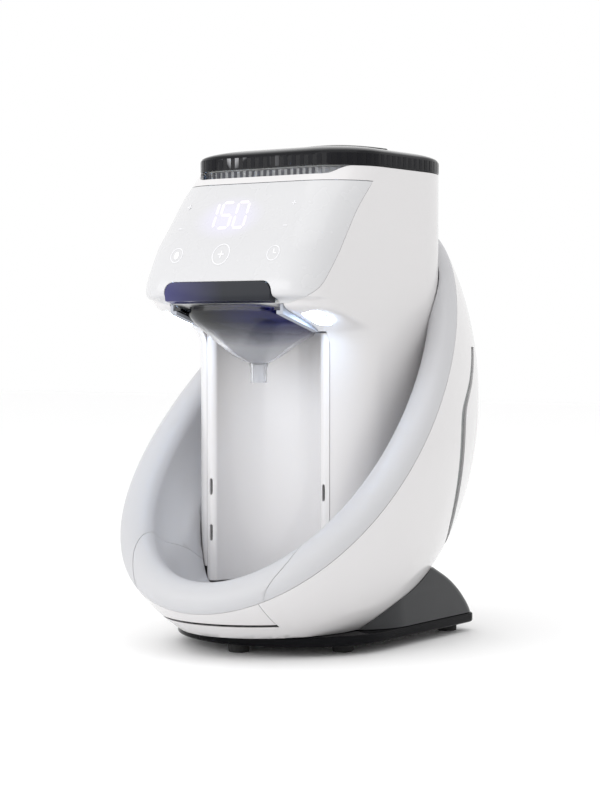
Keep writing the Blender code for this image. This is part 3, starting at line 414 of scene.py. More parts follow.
# %% [markdown]
# ## Mesh tools
# Every skin is a loft: rings of points joined by quads. Openings are cut with solids, and
# the result is baked, so what is kept is plain mesh at the origin.


# %% Mesh tools
def in_metres(points):
    """Points of the drawing, in the frame's metres."""
    return ((np.asarray(points, float) + (0.0, CENTRING, 0.0)) * MM).tolist()


def put(name, data):
    """A new object in the scene that shows the given data."""
    made = bpy.data.objects.new(name, data)
    bpy.context.scene.collection.objects.link(made)
    return made


def mesh_object(name, points, faces):
    """A mesh from drawing millimetres, faces turned outwards."""
    data = bpy.data.meshes.new(name)
    data.from_pydata(in_metres(points), [], faces)
    shape = bmesh.new()
    shape.from_mesh(data)
    bmesh.ops.recalc_face_normals(shape, faces=shape.faces)
    shape.to_mesh(data)
    shape.free()
    return put(name, data)


def level(outline, height):
    """A ring of points: an outline of (x, y) pairs laid at one height."""
    return np.column_stack([outline, np.full(len(outline), height)])


def loft(name, rings, closed=False):
    """Quads between rings of equal count, capped at both ends unless the profile closes."""
    rings = np.asarray(rings, float)
    levels, count = rings.shape[:2]
    grid = np.arange(levels * count).reshape(levels, count)
    low = grid if closed else grid[:-1]
    high = np.roll(grid, -1, 0) if closed else grid[1:]
    corners = [low, np.roll(low, -1, 1), np.roll(high, -1, 1), high]
    faces = np.stack(corners, -1).reshape(-1, 4).tolist()
    if not closed:
        faces += [grid[0].tolist(), grid[-1].tolist()]
    return mesh_object(name, rings.reshape(-1, 3), faces)


def pushed(name, outline, low, high, axis="Z"):
    """An outline of point pairs pushed from low to high along an axis."""
    order = {"X": (2, 0, 1), "Y": (0, 2, 1), "Z": (0, 1, 2)}[axis]
    flat = np.asarray(outline, float)
    rings = [level(flat, h)[:, order] for h in (low, high)]
    return loft(name, rings)


def box_solid(name, low, high):
    corners = [(low[0], low[1]), (high[0], low[1]), (high[0], high[1]), (low[0], high[1])]
    return pushed(name, corners, low[2], high[2])


def disc(radius, count=48, centre=(0.0, 0.0)):
    turn = np.arange(count) * 2 * math.pi / count
    return np.column_stack([centre[0] + radius * np.cos(turn), centre[1] + radius * np.sin(turn)])


def turned(name, profile, centre, count=64, closed=False):
    """Revolves (radius, height) pairs about an upright axis."""
    rings = [level(disc(max(r, 0.01), count, centre), h) for r, h in profile]
    return loft(name, rings, closed)


def flowing(rows, per):
    """A smooth curve through rows of numbers, with per steps to each gap."""
    rows = np.asarray(rows, float)
    run = np.vstack([2 * rows[0] - rows[1], rows, 2 * rows[-1] - rows[-2]])
    t = np.arange(per)[:, None] / per
    parts = []
    for a, b, c, d in zip(run, run[1:], run[2:], run[3:]):
        parts.append(0.5 * (2 * b + (c - a) * t + (2 * a - 5 * b + 4 * c - d) * t**2
                            + (3 * b - a - 3 * c + d) * t**3))
    return np.vstack(parts + [rows[-1:]])


def eased(low, high, value):
    """Rises softly from 0 at low to 1 at high."""
    t = np.clip((value - low) / (high - low), 0.0, 1.0)
    return t * t * (3 - 2 * t)


def boolean(target, operation, other, solver="EXACT"):
    """Bakes a Boolean of target with other, and removes other."""
    step = target.modifiers.new("shape", "BOOLEAN")
    step.operation = operation
    step.solver = solver
    step.object = other
    bake(target)
    bpy.data.objects.remove(other)
    return target


def bake(made):
    """Turns what an object's modifiers give into its own plain mesh."""
    bpy.context.view_layer.update()
    graph = bpy.context.evaluated_depsgraph_get()
    data = bpy.data.meshes.new_from_object(made.evaluated_get(graph))
    made.modifiers.clear()
    made.data = data
    return made


def softened(made, width, segments=3):
    """Rounds every edge sharper than 40 degrees."""
    step = made.modifiers.new("edge", "BEVEL")
    step.width = width * MM
    step.segments = segments
    step.angle_limit = math.radians(40)
    return bake(made)


def finished(made, node=None, material=None, body=None, slot=None, sharp=35):
    """Shades a skin, keeps it inside the solid model's box and joins it to the frame."""
    count = len(made.data.vertices)
    spots = np.empty(count * 3, np.float32)
    made.data.vertices.foreach_get("co", spots)
    spots = np.clip(spots.reshape(-1, 3), np.array(CAD_LOW), np.array(CAD_HIGH))
    made.data.vertices.foreach_set("co", spots.ravel())
    made.data.shade_smooth()
    made.data.set_sharp_from_angle(angle=math.radians(sharp))
    slot = slot or SLOT_OF[node]
    made.data.materials.clear()
    made.data.materials.append(material or FINISH[slot])
    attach(made, body or BODY_OF[node])
    if node:
        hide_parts(node)
    print(f"{made.name}: {len(made.data.polygons)} faces")
    return made


# %% [markdown]
# ## What repeats
# Teeth and ribs are one brick set many times along a line. A small Geometry
# Nodes tree does it: the line is resampled, a brick stands at each point and turns with
# the line, and the copies are made real with their finish.


# %% Bricks along a line
def brick_tree():
    tree = bpy.data.node_groups.new("bricks_along_a_line", "GeometryNodeTree")
    sockets = (("Line", "NodeSocketGeometry"), ("Count", "NodeSocketInt"),
               ("Size", "NodeSocketVector"), ("Finish", "NodeSocketMaterial"))
    for name, kind in sockets:
        tree.interface.new_socket(name, in_out="INPUT", socket_type=kind)
    tree.interface.new_socket("Bricks", in_out="OUTPUT", socket_type="NodeSocketGeometry")
    kinds = {"start": "NodeGroupInput", "curve": "GeometryNodeMeshToCurve",
             "evenly": "GeometryNodeResampleCurve", "points": "GeometryNodeCurveToPoints",
             "brick": "GeometryNodeMeshCube", "copies": "GeometryNodeInstanceOnPoints",
             "real": "GeometryNodeRealizeInstances", "finish": "GeometryNodeSetMaterial",
             "end": "NodeGroupOutput"}
    n = {key: tree.nodes.new(kind) for key, kind in kinds.items()}
    n["points"].mode = "EVALUATED"
    links = (
        ("start", "Line", "curve", "Mesh"),
        ("curve", "Curve", "evenly", "Curve"),
        ("start", "Count", "evenly", "Count"),
        ("evenly", "Curve", "points", "Curve"),
        ("start", "Size", "brick", "Size"),
        ("points", "Points", "copies", "Points"),
        ("points", "Rotation", "copies", "Rotation"),
        ("brick", "Mesh", "copies", "Instance"),
        ("copies", "Instances", "real", "Geometry"),
        ("real", "Geometry", "finish", "Geometry"),
        ("start", "Finish", "finish", "Material"),
        ("finish", "Geometry", "end", "Bricks"),
    )
    for source, outlet, target, inlet in links:
        tree.links.new(n[source].outputs[outlet], n[target].inputs[inlet])
    return tree


BRICKS = brick_tree()


def bricks(name, outline, height, count, size, material):
    """Bricks of (depth, height, length) millimetres along a closed line at one height."""
    data = bpy.data.meshes.new(name)
    edges = [(i, (i + 1) % len(outline)) for i in range(len(outline))]
    data.from_pydata(in_metres(level(outline, height)), edges, [])
    made = put(name, data)
    step = made.modifiers.new("bricks", "NODES")
    step.node_group = BRICKS
    given = {"Count": count, "Size": [s * MM for s in size], "Finish": material}
    for item in BRICKS.interface.items_tree:
        if item.in_out == "INPUT" and item.name in given:
            step[item.identifier] = given[item.name]
    return bake(made)


print("tree", BRICKS.name, "with", len(BRICKS.nodes), "nodes")


# %% [markdown]
# ## Plan outlines
# The tower is a rounded rectangle with tighter corners in front than behind. Its niche is
# half an ellipse, and the base plate is half an ellipse with a square tail.


# %% Outlines
def rounded_plan(half, front, back, front_radius, back_radius, steps=16):
    """A rectangle with one radius for its two front corners and another for the back."""
    corners = ((half - front_radius, front + front_radius, front_radius, -90),
               (half - back_radius, back - back_radius, back_radius, 0),
               (back_radius - half, back - back_radius, back_radius, 90),
               (front_radius - half, front + front_radius, front_radius, 180))
    parts = []
    for x, y, radius, start in corners:
        turn = np.radians(start + 90 * np.arange(steps + 1) / steps)
        parts.append(np.column_stack([x + radius * np.cos(turn), y + radius * np.sin(turn)]))
    return np.vstack(parts)


def tower_plan(grow=0.0, steps=16):
    front_radius, back_radius = (r + grow for r in TOWER_RADII)
    return rounded_plan(TOWER_HALF + grow, TOWER_Y[0] - grow, TOWER_Y[1] + grow,
                        front_radius, back_radius, steps)


def niche_arc(grow=0.0, steps=40):
    turn = np.pi * np.arange(steps + 1) / steps
    return np.column_stack([(NICHE[0] + grow) * np.cos(turn),
                            TOWER_Y[0] + (NICHE[1] + grow) * np.sin(turn)])


def column_plan(grow=0.0):
    """The tower's plan with the niche taken out of its front."""
    outside = tower_plan(grow)
    wall = outside[(np.abs(outside[:, 0]) > NICHE[0] - grow) | (outside[:, 1] > 0)]
    return np.vstack([wall, niche_arc(-grow)[::-1]])


def plate_plan(inset=0.0, steps=72):
    middle, depth, corner, back = -37.0, 66.0, 9.0, 75.0
    half = 74.0 - inset
    turn = np.pi + np.pi * np.arange(steps + 1) / steps
    parts = [np.column_stack([half * np.cos(turn), middle + (depth - inset) * np.sin(turn)])]
    for side in (1, -1):
        turn = np.radians((0 if side > 0 else 90) + 90 * np.arange(9) / 8)
        parts.append(np.column_stack([side * (half - corner) + corner * np.cos(turn),
                                      back - inset - corner + corner * np.sin(turn)]))
    return np.vstack(parts)


def squarish(centre, half, power, count=72):
    """An ellipse whose corners fill out as the power rises."""
    turn = np.arange(count) * 2 * np.pi / count
    c, s = np.cos(turn), np.sin(turn)
    return np.column_stack([centre[0] + half[0] * np.sign(c) * np.abs(c) ** (2 / power),
                            centre[1] + half[1] * np.sign(s) * np.abs(s) ** (2 / power)])


print("tower plan", len(tower_plan()), "points; base plate", len(plate_plan()))

# %% [markdown]
# ## The cradle
# The cradle is half an ellipsoid whose open face leans back at 45 degrees. It narrows
# towards the top, as an egg does. Walls between two insets give the bowl, the tank's cover
# and the drip tray's front, so their faces run on from one to the next.


# %% Cradle surfaces
def cradle_point(turn, reach_x, reach_y, down):
    """Points round the tilted ellipse, some way down from the rim's plane."""
    along = reach_y * np.sin(turn)
    taper = 1 + CRADLE["taper"] * along / CRADLE_HALF[1]
    c, s = math.cos(CRADLE["tilt"]), math.sin(CRADLE["tilt"])
    x = reach_x * np.cos(turn) * taper
    return np.stack([x, CRADLE["y"] + along * c + down * s + 0 * x,
                     CRADLE["z"] + along * s - down * c + 0 * x], -1)


def cradle_rings(inset, turns=176, depths=44):
    lean = np.pi / 2 * np.minimum(np.arange(depths + 1) / depths, 0.9995)
    turn = np.arange(turns) * 2 * np.pi / turns
    half_x, half_y = CRADLE_HALF[0] - inset, CRADLE_HALF[1] - inset
    return [cradle_point(turn, half_x * math.cos(a), half_y * math.cos(a),
                         math.sin(a) * (CRADLE_DEPTH - inset)) for a in lean]


def cradle_shell(name, outer, inner, **fine):
    return loft(name, cradle_rings(inner, **fine)[::-1] + cradle_rings(outer, **fine))


def cradle_egg(name, inset, **fine):
    return loft(name, cradle_rings(inset, **fine))


def tank_outline(step=0.0, inset=0.0):
    """Everything behind the tank's seam, seen from the side."""
    low, high = TANK_SEAM[0][1] + inset, TANK_SEAM[-1][1] - inset
    y, z = flowing(TANK_SEAM, 4).T
    between = z[(z > low + 0.2) & (z < high - 0.2)]
    levels = np.concatenate([[low], between, [high]])
    seam = np.column_stack([np.interp(levels, z, y) + step + inset, levels])
    return np.vstack([[(200.0, low)], seam, [(200.0, high)]])


bowl = cradle_shell("bowl_skin", 0.0, CRADLE_WALL)
boolean(bowl, "DIFFERENCE", box_solid("under", (-200, -250, -100), (200, 250, PLATE_Z[1] + GAP)))
boolean(bowl, "DIFFERENCE", pushed("rear", tank_outline(), -150, 150, "X"))
boolean(bowl, "DIFFERENCE", box_solid("front", (-FRONT_HALF, -200, FRONT_SLIT[0]), (FRONT_HALF, -90, 80)))
boolean(bowl, "DIFFERENCE", box_solid("socket", *SOCKET_ROOM))
finished(bowl, "cradle_bowl")

tray_front = cradle_shell("tray_front_skin", 0.0, CRADLE_WALL)
inner_half = FRONT_HALF - GAP
boolean(tray_front, "INTERSECT",
        box_solid("strip", (-inner_half, -200, FRONT_SLIT[1]), (inner_half, -90, 80)))
finished(tray_front, "tray_front")

cover = cradle_shell("tank_cover_skin", 0.0, COVER_WALL)
boolean(cover, "INTERSECT", pushed("rear", tank_outline(COVER_STEP, GAP), -150, 150, "X"))
finished(cover, "tank_cover")

# %% [markdown]
# ## The rolled rim, the liner and the drip tray
# One surface rolls over the rim, falls into the basin and sinks into the flat pocket that
# the bottle stands in. The tray is the piece of it that lifts out, cut square to the rim.


# %% Rim, liner and tray
BEAD_STEPS = 26


def basin_profile(skin, steps):
    """(inward, drop) pairs: the bead's half round, then shares of the way into the basin."""
    half = BEAD[0] / 2
    turn = np.pi * np.arange(BEAD_STEPS + 1) / BEAD_STEPS
    rise = (BEAD[1] - skin) * np.sin(turn)
    rise[0] = GAP
    bead = np.column_stack([half - (half - skin) * np.cos(turn), -rise])
    turn = np.pi / 2 * np.arange(1, steps) / steps
    return bead, np.column_stack([1 - np.cos(turn), (BASIN_DEPTH + skin) * np.sin(turn)])


def sunk(points, skin):
    """Lowers basin points onto the pocket, which runs on back under the tower."""
    x, y, z = points.T
    away = np.hypot(x / POCKET["half"][0], np.minimum(0.0, y - POCKET["y"]) / POCKET["half"][1])
    edge = POCKET["edge"] + 0.2 * eased(-75.0, -45.0, y)
    share = (1 - eased(1.0, 1.0 + edge, away)) * (1 - eased(-28.0, 45.0, y))
    floor = POCKET["floor"] - skin
    lowered = np.where(z > floor - 20, z + (floor - z) * share, z)
    return np.column_stack([x, y, lowered])


def basin_rings(skin, turns=200, steps=44):
    turn = np.arange(turns) * 2 * np.pi / turns
    bead, basin = basin_profile(skin, steps)
    rings = [cradle_point(turn, CRADLE_HALF[0] - inward, CRADLE_HALF[1] - inward, down)
             for inward, down in bead]
    edge = BEAD[0] - skin
    for share, down in basin:
        ring = cradle_point(turn, (CRADLE_HALF[0] - edge) * (1 - share),
                            (CRADLE_HALF[1] - edge) * (1 - share), down)
        rings.append(sunk(ring, skin))
    return rings


def basin_body(name):
    return loft(name, basin_rings(LINER_WALL)[::-1] + basin_rings(0.0))


def rim_square(name, outline, up, down):
    """An outline in the rim's plane, pushed square to it."""
    c, s = math.cos(CRADLE["tilt"]), math.sin(CRADLE["tilt"])
    x, a = np.asarray(outline, float).T
    rings = [np.column_stack([x, CRADLE["y"] + a * c + d * s, CRADLE["z"] + a * s - d * c])
             for d in (-up, down)]
    return loft(name, rings)


def tray_outline(inset=0.0):
    """The lift-out tray's edge in the rim's plane, run on past the front."""
    right = [(44.0, -84.0), (48.5, -92.5), (56.5, -105.0), (60.5, -119.0), (59.0, -133.0),
             (53.0, -147.0), (46.0, -161.0)]
    right = flowing(right, 4) - (inset, 0.0)
    right[0, 1] -= inset
    right = np.vstack([right, [(46.0 - inset, -210.0)]])
    return np.vstack([right * (-1, 1), right[::-1]])


liner = basin_body("liner_skin")
boolean(liner, "DIFFERENCE", pushed("tower", tower_plan(0.6), -50, 400), "MANIFOLD")
boolean(liner, "DIFFERENCE", rim_square("tray", tray_outline(), 90, 120), "MANIFOLD")
finished(liner, "cradle_liner", sharp=50)

tray = basin_body("tray_skin")
boolean(tray, "INTERSECT", rim_square("tray", tray_outline(GAP), 90, 120), "MANIFOLD")
boolean(tray, "DIFFERENCE", pushed("column", column_plan(0.8), -50, 400), "MANIFOLD")
finished(tray, "drip_tray", sharp=50)

# %% [markdown]
# ## The water tank
# The tank fills the rear of the cradle and reaches into the tower between its hoses. Only
# a grey strip of it shows between the bowl and its white cover, set back a little.


# %% Water tank
def basin_solid(name, grow, turns=96, steps=16):
    """A solid filling the basin and all above it, grown by some millimetres."""
    turn = np.arange(turns) * 2 * np.pi / turns
    rings = []
    for i in range(-1, steps):
        a = np.pi / 2 * max(i, 0) / steps
        down = -90.0 if i < 0 else (BASIN_DEPTH + grow) * math.sin(a)
        rings.append(cradle_point(turn, (CRADLE_HALF[0] - BEAD[0] + grow) * math.cos(a),
                                  (CRADLE_HALF[1] - BEAD[0] + grow) * math.cos(a), down))
    return loft(name, rings)


def tank_solid(name, wall, floor=60.0, top=183.0):
    """The tank's body, or the room inside it when a wall is given."""
    body = cradle_egg(name, TANK_SKIN + wall, turns=96, depths=24)
    boolean(body, "INTERSECT", pushed("side", tank_outline(inset=0.9 + wall), -150, 150, "X"))
    boolean(body, "DIFFERENCE", box_solid("floor", (-150, -50, 0), (150, 200, floor + wall)))
    boolean(body, "DIFFERENCE", box_solid("top", (-150, -50, top - wall), (150, 200, 300)))
    half, front, low, high = TANK_NECK
    half, front, low, high = half - wall, front + wall, low + wall, high - wall
    round_tower = pushed("tower", tower_plan(2.0 + wall), 0, 400)
    boolean(round_tower, "DIFFERENCE", box_solid("neck", (-half, front, low), (half, 200, high)))
    boolean(body, "DIFFERENCE", round_tower)
    basin = basin_solid("basin", LINER_WALL + 2.2 + wall)
    boolean(basin, "DIFFERENCE", box_solid("neck", (-half, 0, low), (half, TOWER_Y[1] - 1, high)))
    return boolean(body, "DIFFERENCE", basin)


tank = tank_solid("tank_skin", 0.0)
boolean(tank, "DIFFERENCE", tank_solid("room", TANK_WALL))
band = cradle_shell("band", 1.4, 4.5, turns=144, depths=36)
boolean(band, "INTERSECT", pushed("side", tank_outline(inset=GAP), -150, 150, "X"))
boolean(band, "DIFFERENCE", pushed("behind", tank_outline(COVER_STEP - 0.2), -150, 150, "X"))
boolean(tank, "UNION", band)
boolean(tank, "DIFFERENCE", pushed("fill", disc(12.0, 48, FILL), 150, 200))
boolean(tank, "DIFFERENCE", pushed("valve", disc(6.4, 40, VALVE), 20, 50, "Y"))
finished(tank, "water_tank")

plug = [(0, 179.0), (10.6, 179.0), (11.4, 179.8), (11.6, 183.4), (13.0, 183.4), (13.5, 183.9),
        (13.5, 184.7), (13.0, 185.2), (6.0, 185.2), (5.4, 184.6), (0, 184.6)]
finished(turned("tank_plug_skin", plug, FILL), "tank_lid")

# %% [markdown]
# ## The tower and its leaning head
# Plan outlines stacked up the tower give its wall. Above the bay the front swells forward
# to the panel's lip, then leans back to the lid. Panel and shell are two pieces of this
# one wall, parted along a seam that runs up the side of the head.


# %% Tower and panel
def head_levels():
    """(height, front, corner radius) rows up the tower, smooth through the head."""
    return np.vstack([[(TOWER_Z[0], TOWER_Y[0], TOWER_RADII[0])], flowing(HEAD_LEVELS, 5)])


def tower_rings(grow):
    rings = []
    for z, front, radius in head_levels():
        lift = -grow if CHIN[0] < z < CHIN[1] else 0.0
        plan = rounded_plan(TOWER_HALF + grow, front - grow, TOWER_Y[1] + grow,
                            radius + grow, TOWER_RADII[1] + grow)
        rings.append(level(plan, z + lift))
    return rings


def tower_wall(name):
    return loft(name, tower_rings(-TOWER_WALL)[::-1] + tower_rings(0.0), closed=True)


def panel_side(inset=0.0):
    """Everything in front of the panel's seam, seen from the side."""
    seam = flowing(FASCIA_SEAM, 4) - (inset, 0.0)
    seam[0, 1] -= inset
    ends = [(-103.0 - inset, 205.0), (-140.0, 205.0), (-140.0, FASCIA_TOP - inset)]
    return np.vstack([seam, ends])


def bar_outline(grow=0.0):
    """The funnel's front bar, a low rectangle with round top corners, or its notch if grown."""
    half, radius = HANDLE["half"] + grow, HANDLE["radius"]
    low, high = HANDLE["z"][0], HANDLE["z"][1] + grow
    turn = np.radians(9.0 * np.arange(11))
    right = np.column_stack([half - radius + radius * np.cos(turn), high - radius + radius * np.sin(turn)])
    right = np.vstack([[(half - 0.5, low - (60 if grow else 0))], right])
    return np.vstack([right, right[::-1] * (-1, 1)])


def sloped(name, outline, back, front, anchor):
    """An (x, z) outline pushed along the funnel's slope, rising towards the front."""
    x, z = np.asarray(outline, float).T
    rings = [np.column_stack([x, np.full(len(x), y), z - (y - anchor) * FUNNEL_SLOPE])
             for y in (front, back)]
    return loft(name, rings)


def top_dip():
    """The dip in the tower's top edge above the panel, seen from the front."""
    right = flowing([(46.0, FRONT_EDGE), (50.0, FRONT_EDGE + 0.6), (53.0, FRONT_EDGE + 2.4),
                     (56.0, FRONT_EDGE + 4.4), (60.0, TOWER_Z[1] + 0.5)], 4)
    right = np.vstack([right, [(60.0, 320.0)]])
    return np.vstack([right[::-1] * (-1, 1), right])


shell = tower_wall("tower_skin")
bay_side = BAY_HALF + GAP
for cutter in (
    pushed("seam", panel_side(), -100, 100, "X"),
    box_solid("bay", (-bay_side, -66, 30), (bay_side, -30, 198)),
    box_solid("chin", (-43.6, -140, 185), (43.6, -50, 218)),
    pushed("dip", top_dip(), -120, -20, "Y"),
    box_solid("rear", (-100, 8, 30), (100, 100, 62)),
    box_solid("neck", (-49, 25, 30), (49, 90, 161)),
    *(pushed("lens", squarish((side * LENS[0], LENS[1]), (6.4, 10.4), 4.0), 190, 215)
      for side in (-1, 1)),
):
    boolean(shell, "DIFFERENCE", cutter)
finished(shell, "tower_shell")

panel = tower_wall("panel_skin")
boolean(panel, "INTERSECT", pushed("front", panel_side(GAP), -100, 100, "X"))
boolean(panel, "DIFFERENCE", sloped("notch", bar_outline(0.5), -90, -130, HANDLE["y"][0]))
finished(panel, "control_fascia")

for name, side in (("left", -1), ("right", 1)):
    rings = []
    for share, height in ((0.93, 0.4), (1.0, 1.0), (1.0, 2.2), (0.93, 2.8)):
        plan = squarish((side * LENS[0], LENS[1]), (6.0 * share, 10.0 * share), 4.0)
        rings.append(np.column_stack([plan, 204.9 - 0.385 * (plan[:, 1] - LENS[1]) + height]))
    finished(loft(f"lamp_{name}_skin", rings), f"light_lens_{name}")


# %% [markdown]
# ## The bay panel
# A strip in plan: a narrow band each side, a soft roll into the niche, and the niche's
# half ellipse. Two slots in each band take the arms of a bottle stand.


# %% Bay panel
def rolled(points, rounds=3):
    """Cuts the corners off an open line, a few times over, and keeps its ends."""
    for _ in range(rounds):
        first, last = points[:1], points[-1:]
        quarter = points[:-1] * 0.75 + points[1:] * 0.25
        three = points[:-1] * 0.25 + points[1:] * 0.75
        middle = np.stack([quarter, three], 1).reshape(-1, 2)
        points = np.vstack([first, middle, last])
    return points


def band_points(xs):
    """Points on the front of the tower's wall, which turns back beyond 35 mm."""
    offset = 32.0 - np.sqrt(32.0**2 - np.maximum(0.0, xs - 35.0) ** 2)
    return np.column_stack([xs, TOWER_Y[0] + offset])


right_band = band_points(np.array([BAY_HALF, 45.8, 44.0]))
arc = niche_arc(0.0, 36)[1:-1]
front_line = rolled(np.vstack([right_band, arc, right_band[::-1] * (-1, 1)]))
back_arc = niche_arc(BAY_WALL, 36)
back_arc = back_arc[back_arc[:, 1] > TOWER_Y[0] + 7.0]
back_band = right_band[:2] + (0.0, BAY_WALL)
back_line = np.vstack([back_band, back_arc, back_band[::-1] * (-1, 1)])
bay = pushed("bay_skin", np.vstack([front_line, back_line[::-1]]), *BAY_Z)
for side in (-1, 1):
    for height in SLOT_HEIGHTS:
        slot_shape = squarish((side * 43.8, height), (1.1, 5.25), 5.0, 32)
        boolean(bay, "DIFFERENCE", pushed("slot", slot_shape, -80, -40, "Y"))
finished(bay, "bay_panel")

# Near-black pieces behind the slots are painted shade for the dark inside of each slot.
BAND_BACK = -59.4
shade_pockets = None
for side in (-1, 1):
    for height in SLOT_HEIGHTS:
        shape = squarish((side * 44.0, height), (1.5, 6.0), 5.0, 32)
        pocket = pushed("slot_shade_pockets", shape, BAND_BACK, BAND_BACK + 2.0, "Y")
        shade_pockets = boolean(shade_pockets, "UNION", pocket) if shade_pockets else pocket
finished(shade_pockets, body="housing", slot="gloss_black", material=SLOT_SHADE_FINISH)


# %% [markdown]
# ## The mixing funnel
# Smoked plastic, a D in plan: its straight side with round corners faces the front, and
# it narrows to a round spout. The front bar is its handle and slides out with it.


# %% Funnel
def funnel_ring(share, wall, drop, turns=96):
    """share 1 is the mouth and 0 the spout, and drop is the way down between them."""
    turn = np.arange(turns) * 2 * np.pi / turns
    c, s = np.cos(turn), np.sin(turn)
    power = np.where(s > 0, 2.0, 4.0)
    reach = np.where(s > 0, -39.0 - SPOUT_Y, SPOUT_Y + 105.0)
    mouth_x = (37.0 - wall) * np.sign(c) * np.abs(c) ** (2 / power)
    mouth_y = (reach - wall) * np.sign(s) * np.abs(s) ** (2 / power)
    spout = 6.2 - wall
    x = spout * c + (mouth_x - spout * c) * share
    y = SPOUT_Y + spout * s + (mouth_y - spout * s) * share
    top = 203.7 - (y - SPOUT_Y) * FUNNEL_SLOPE
    return np.column_stack([x, y, top + (178.0 + wall * 0.4 - top) * drop])


walls = []
for wall, stations, radius in (
    (0.0, ((1.0, 0.0), (0.985, 0.16), (0.62, 0.5), (0.30, 0.80), (0.0, 1.0)), 5.2),
    (1.8, ((1.0, 0.0), (0.985, 0.14), (0.62, 0.46), (0.30, 0.77), (0.0, 1.0)), 3.8),
):
    rings = [funnel_ring(share, wall, drop) for share, drop in flowing(stations, 5)]
    rings += [level(disc(radius, 96, (0.0, SPOUT_Y)), z) for z in (175.0, 166.0)]
    walls.append(rings)
cup = loft("funnel_skin", walls[0] + walls[1][::-1], closed=True)
for side in (-1, 1):
    near, far = side * 36.1, side * 40.2
    flange = [(near, 201.3), (far, 201.3), (far, 203.3), (near, 203.3)]
    boolean(cup, "UNION", sloped("flange", flange, -70, -102, SPOUT_Y))
finished(cup, "mixing_funnel", CUP_FINISH)

bar = sloped("handle_skin", bar_outline(), HANDLE["y"][1], HANDLE["y"][0], HANDLE["y"][0])
finished(softened(bar, 0.7), "funnel_handle", BAR_FINISH)


# %% [markdown]
# ## The lid
# The lid is a low dome of smoked plastic on an upright rim. Flat ribs stand a hair proud
# of the rim all round, and a rounded grip runs across the top. More ribs stand round the
# clear hopper, where the gap under the lid shows them.


# %% Lid
def lid_rings(grow, per=6):
    middle = sum(TOWER_Y) / 2
    half = (TOWER_Y[1] - TOWER_Y[0]) / 2
    plan = tower_plan()
    rings = []
    levels = np.vstack([LID_LEVELS[0], flowing(LID_LEVELS[1:], per)])
    for z, inset in levels:
        inset = inset - grow
        lift = grow if z > LID_LEVELS[0][0] else 0.0
        scaled = (plan - (0.0, middle)) * (1 - inset / TOWER_HALF, 1 - inset / half) + (0.0, middle)
        rings.append(level(scaled, z + lift))
    return rings


lid = loft("lid_skin", lid_rings(-LID_WALL)[::-1] + lid_rings(0.0))
finished(lid, "hopper_lid")

# The lid's ribs carry painted highlights, brightest on the left.
ribs = bricks("lid_ribs", tower_plan(-0.45), 304.1, 74, (1.1, 6.4, 3.0), RIB_FINISH)
finished(ribs, body="lid", slot="smoke", material=RIB_FINISH, sharp=20)

hopper_line = tower_plan(-HOPPER_INSET - 0.6)
# The hopper's ribs carry painted highlights too, brightest on the left.
hopper_ribs = bricks("hopper_ribs", hopper_line, 296.7, 96, (1.4, 4.6, 2.4), TOOTH_FINISH)
finished(hopper_ribs, body="powder_unit", slot="clear", material=TOOTH_FINISH, sharp=20)

GRIP_HALF = 46.0
GRIP_FOOT = 308.0
grip_rings = []
for t in np.linspace(-1, 1, 49):
    top, half = 319.0 - 4.2 * t * t, 11.5 * (1 - 0.7 * t**4)
    turn = np.pi * np.arange(25) / 24
    c, s = np.cos(turn), np.sin(turn)
    y = 5 + half * np.sign(c) * np.abs(c) ** 0.7
    z = GRIP_FOOT + (top - GRIP_FOOT) * s**0.35
    grip_rings.append(np.column_stack([np.full(25, GRIP_HALF * t), y, z]))
grip = loft("grip_skin", grip_rings)
boolean(grip, "DIFFERENCE", loft("lid_top", lid_rings(0.35, 4)))
finished(grip, "lid_grip")

# %% [markdown]
# ## The toothed stirrer
# Inside the hopper a ring with teeth turns the powder down into the dosing wheel. The
# ring shows through the gap under the lid, so its teeth are set one by one.

# %% Stirrer
profile = [(49.0, 291.0), (53.6, 291.0), (54.2, 291.6), (54.2, 297.4), (53.6, 298.0), (49.0, 298.0)]
ring = turned("stirrer_skin", profile, (0.0, WHEEL_Y), 144, closed=True)
arm = box_solid("arm", (-50.5, WHEEL_Y - 3.5, 264.0), (50.5, WHEEL_Y + 3.5, 296.0))
for side in (-1, 1):
    low, high = sorted((side * 9.0, side * 42.0))
    boolean(arm, "DIFFERENCE", box_solid("gap", (low, WHEEL_Y - 9, 272), (high, WHEEL_Y + 9, 310)))
boolean(ring, "UNION", arm)
boolean(ring, "UNION", pushed("hub", disc(5.8, 40, (0.0, WHEEL_Y)), 257.9, 297.5))
finished(ring, "stirrer")
tooth_line = disc(55.6, 144, (0.0, WHEEL_Y))
teeth = bricks("stirrer_teeth", tooth_line, 294.5, 24, (6.6, 3.6, 6.4), FINISH["satin_white"])
finished(softened(teeth, 0.5, 2), body="rotor", slot="satin_white")


# %% [markdown]
# ## Base plate, tail and feet
# The black plate has a rounded edge and four screw holes. The grey tail holds the mains
# inlet under the tank. The feet are rubber discs with two grip grooves each.


# %% Base
def eased_edge(plan_at, low, high, radius, steps=4):
    """Rings of a plate whose upper and lower edges are rounded."""
    rings = []
    for base, sign in ((low, 1), (high, -1)):
        part = []
        for i in range(steps + 1):
            a = math.pi / 2 * i / steps
            plan = plan_at(radius * (1 - math.sin(a)))
            part.append(level(plan, base + sign * radius * (1 - math.cos(a))))
        rings += part if sign > 0 else part[::-1]
    return rings


plate = loft("plate_skin", eased_edge(plate_plan, *PLATE_Z, 1.4))
for x, y in ((-38, -70), (38, -70), (-40, 40), (40, 40)):
    boolean(plate, "DIFFERENCE", pushed("hole", disc(1.8, 24, (x, y)), 0, 20))
finished(plate, "base_plate")

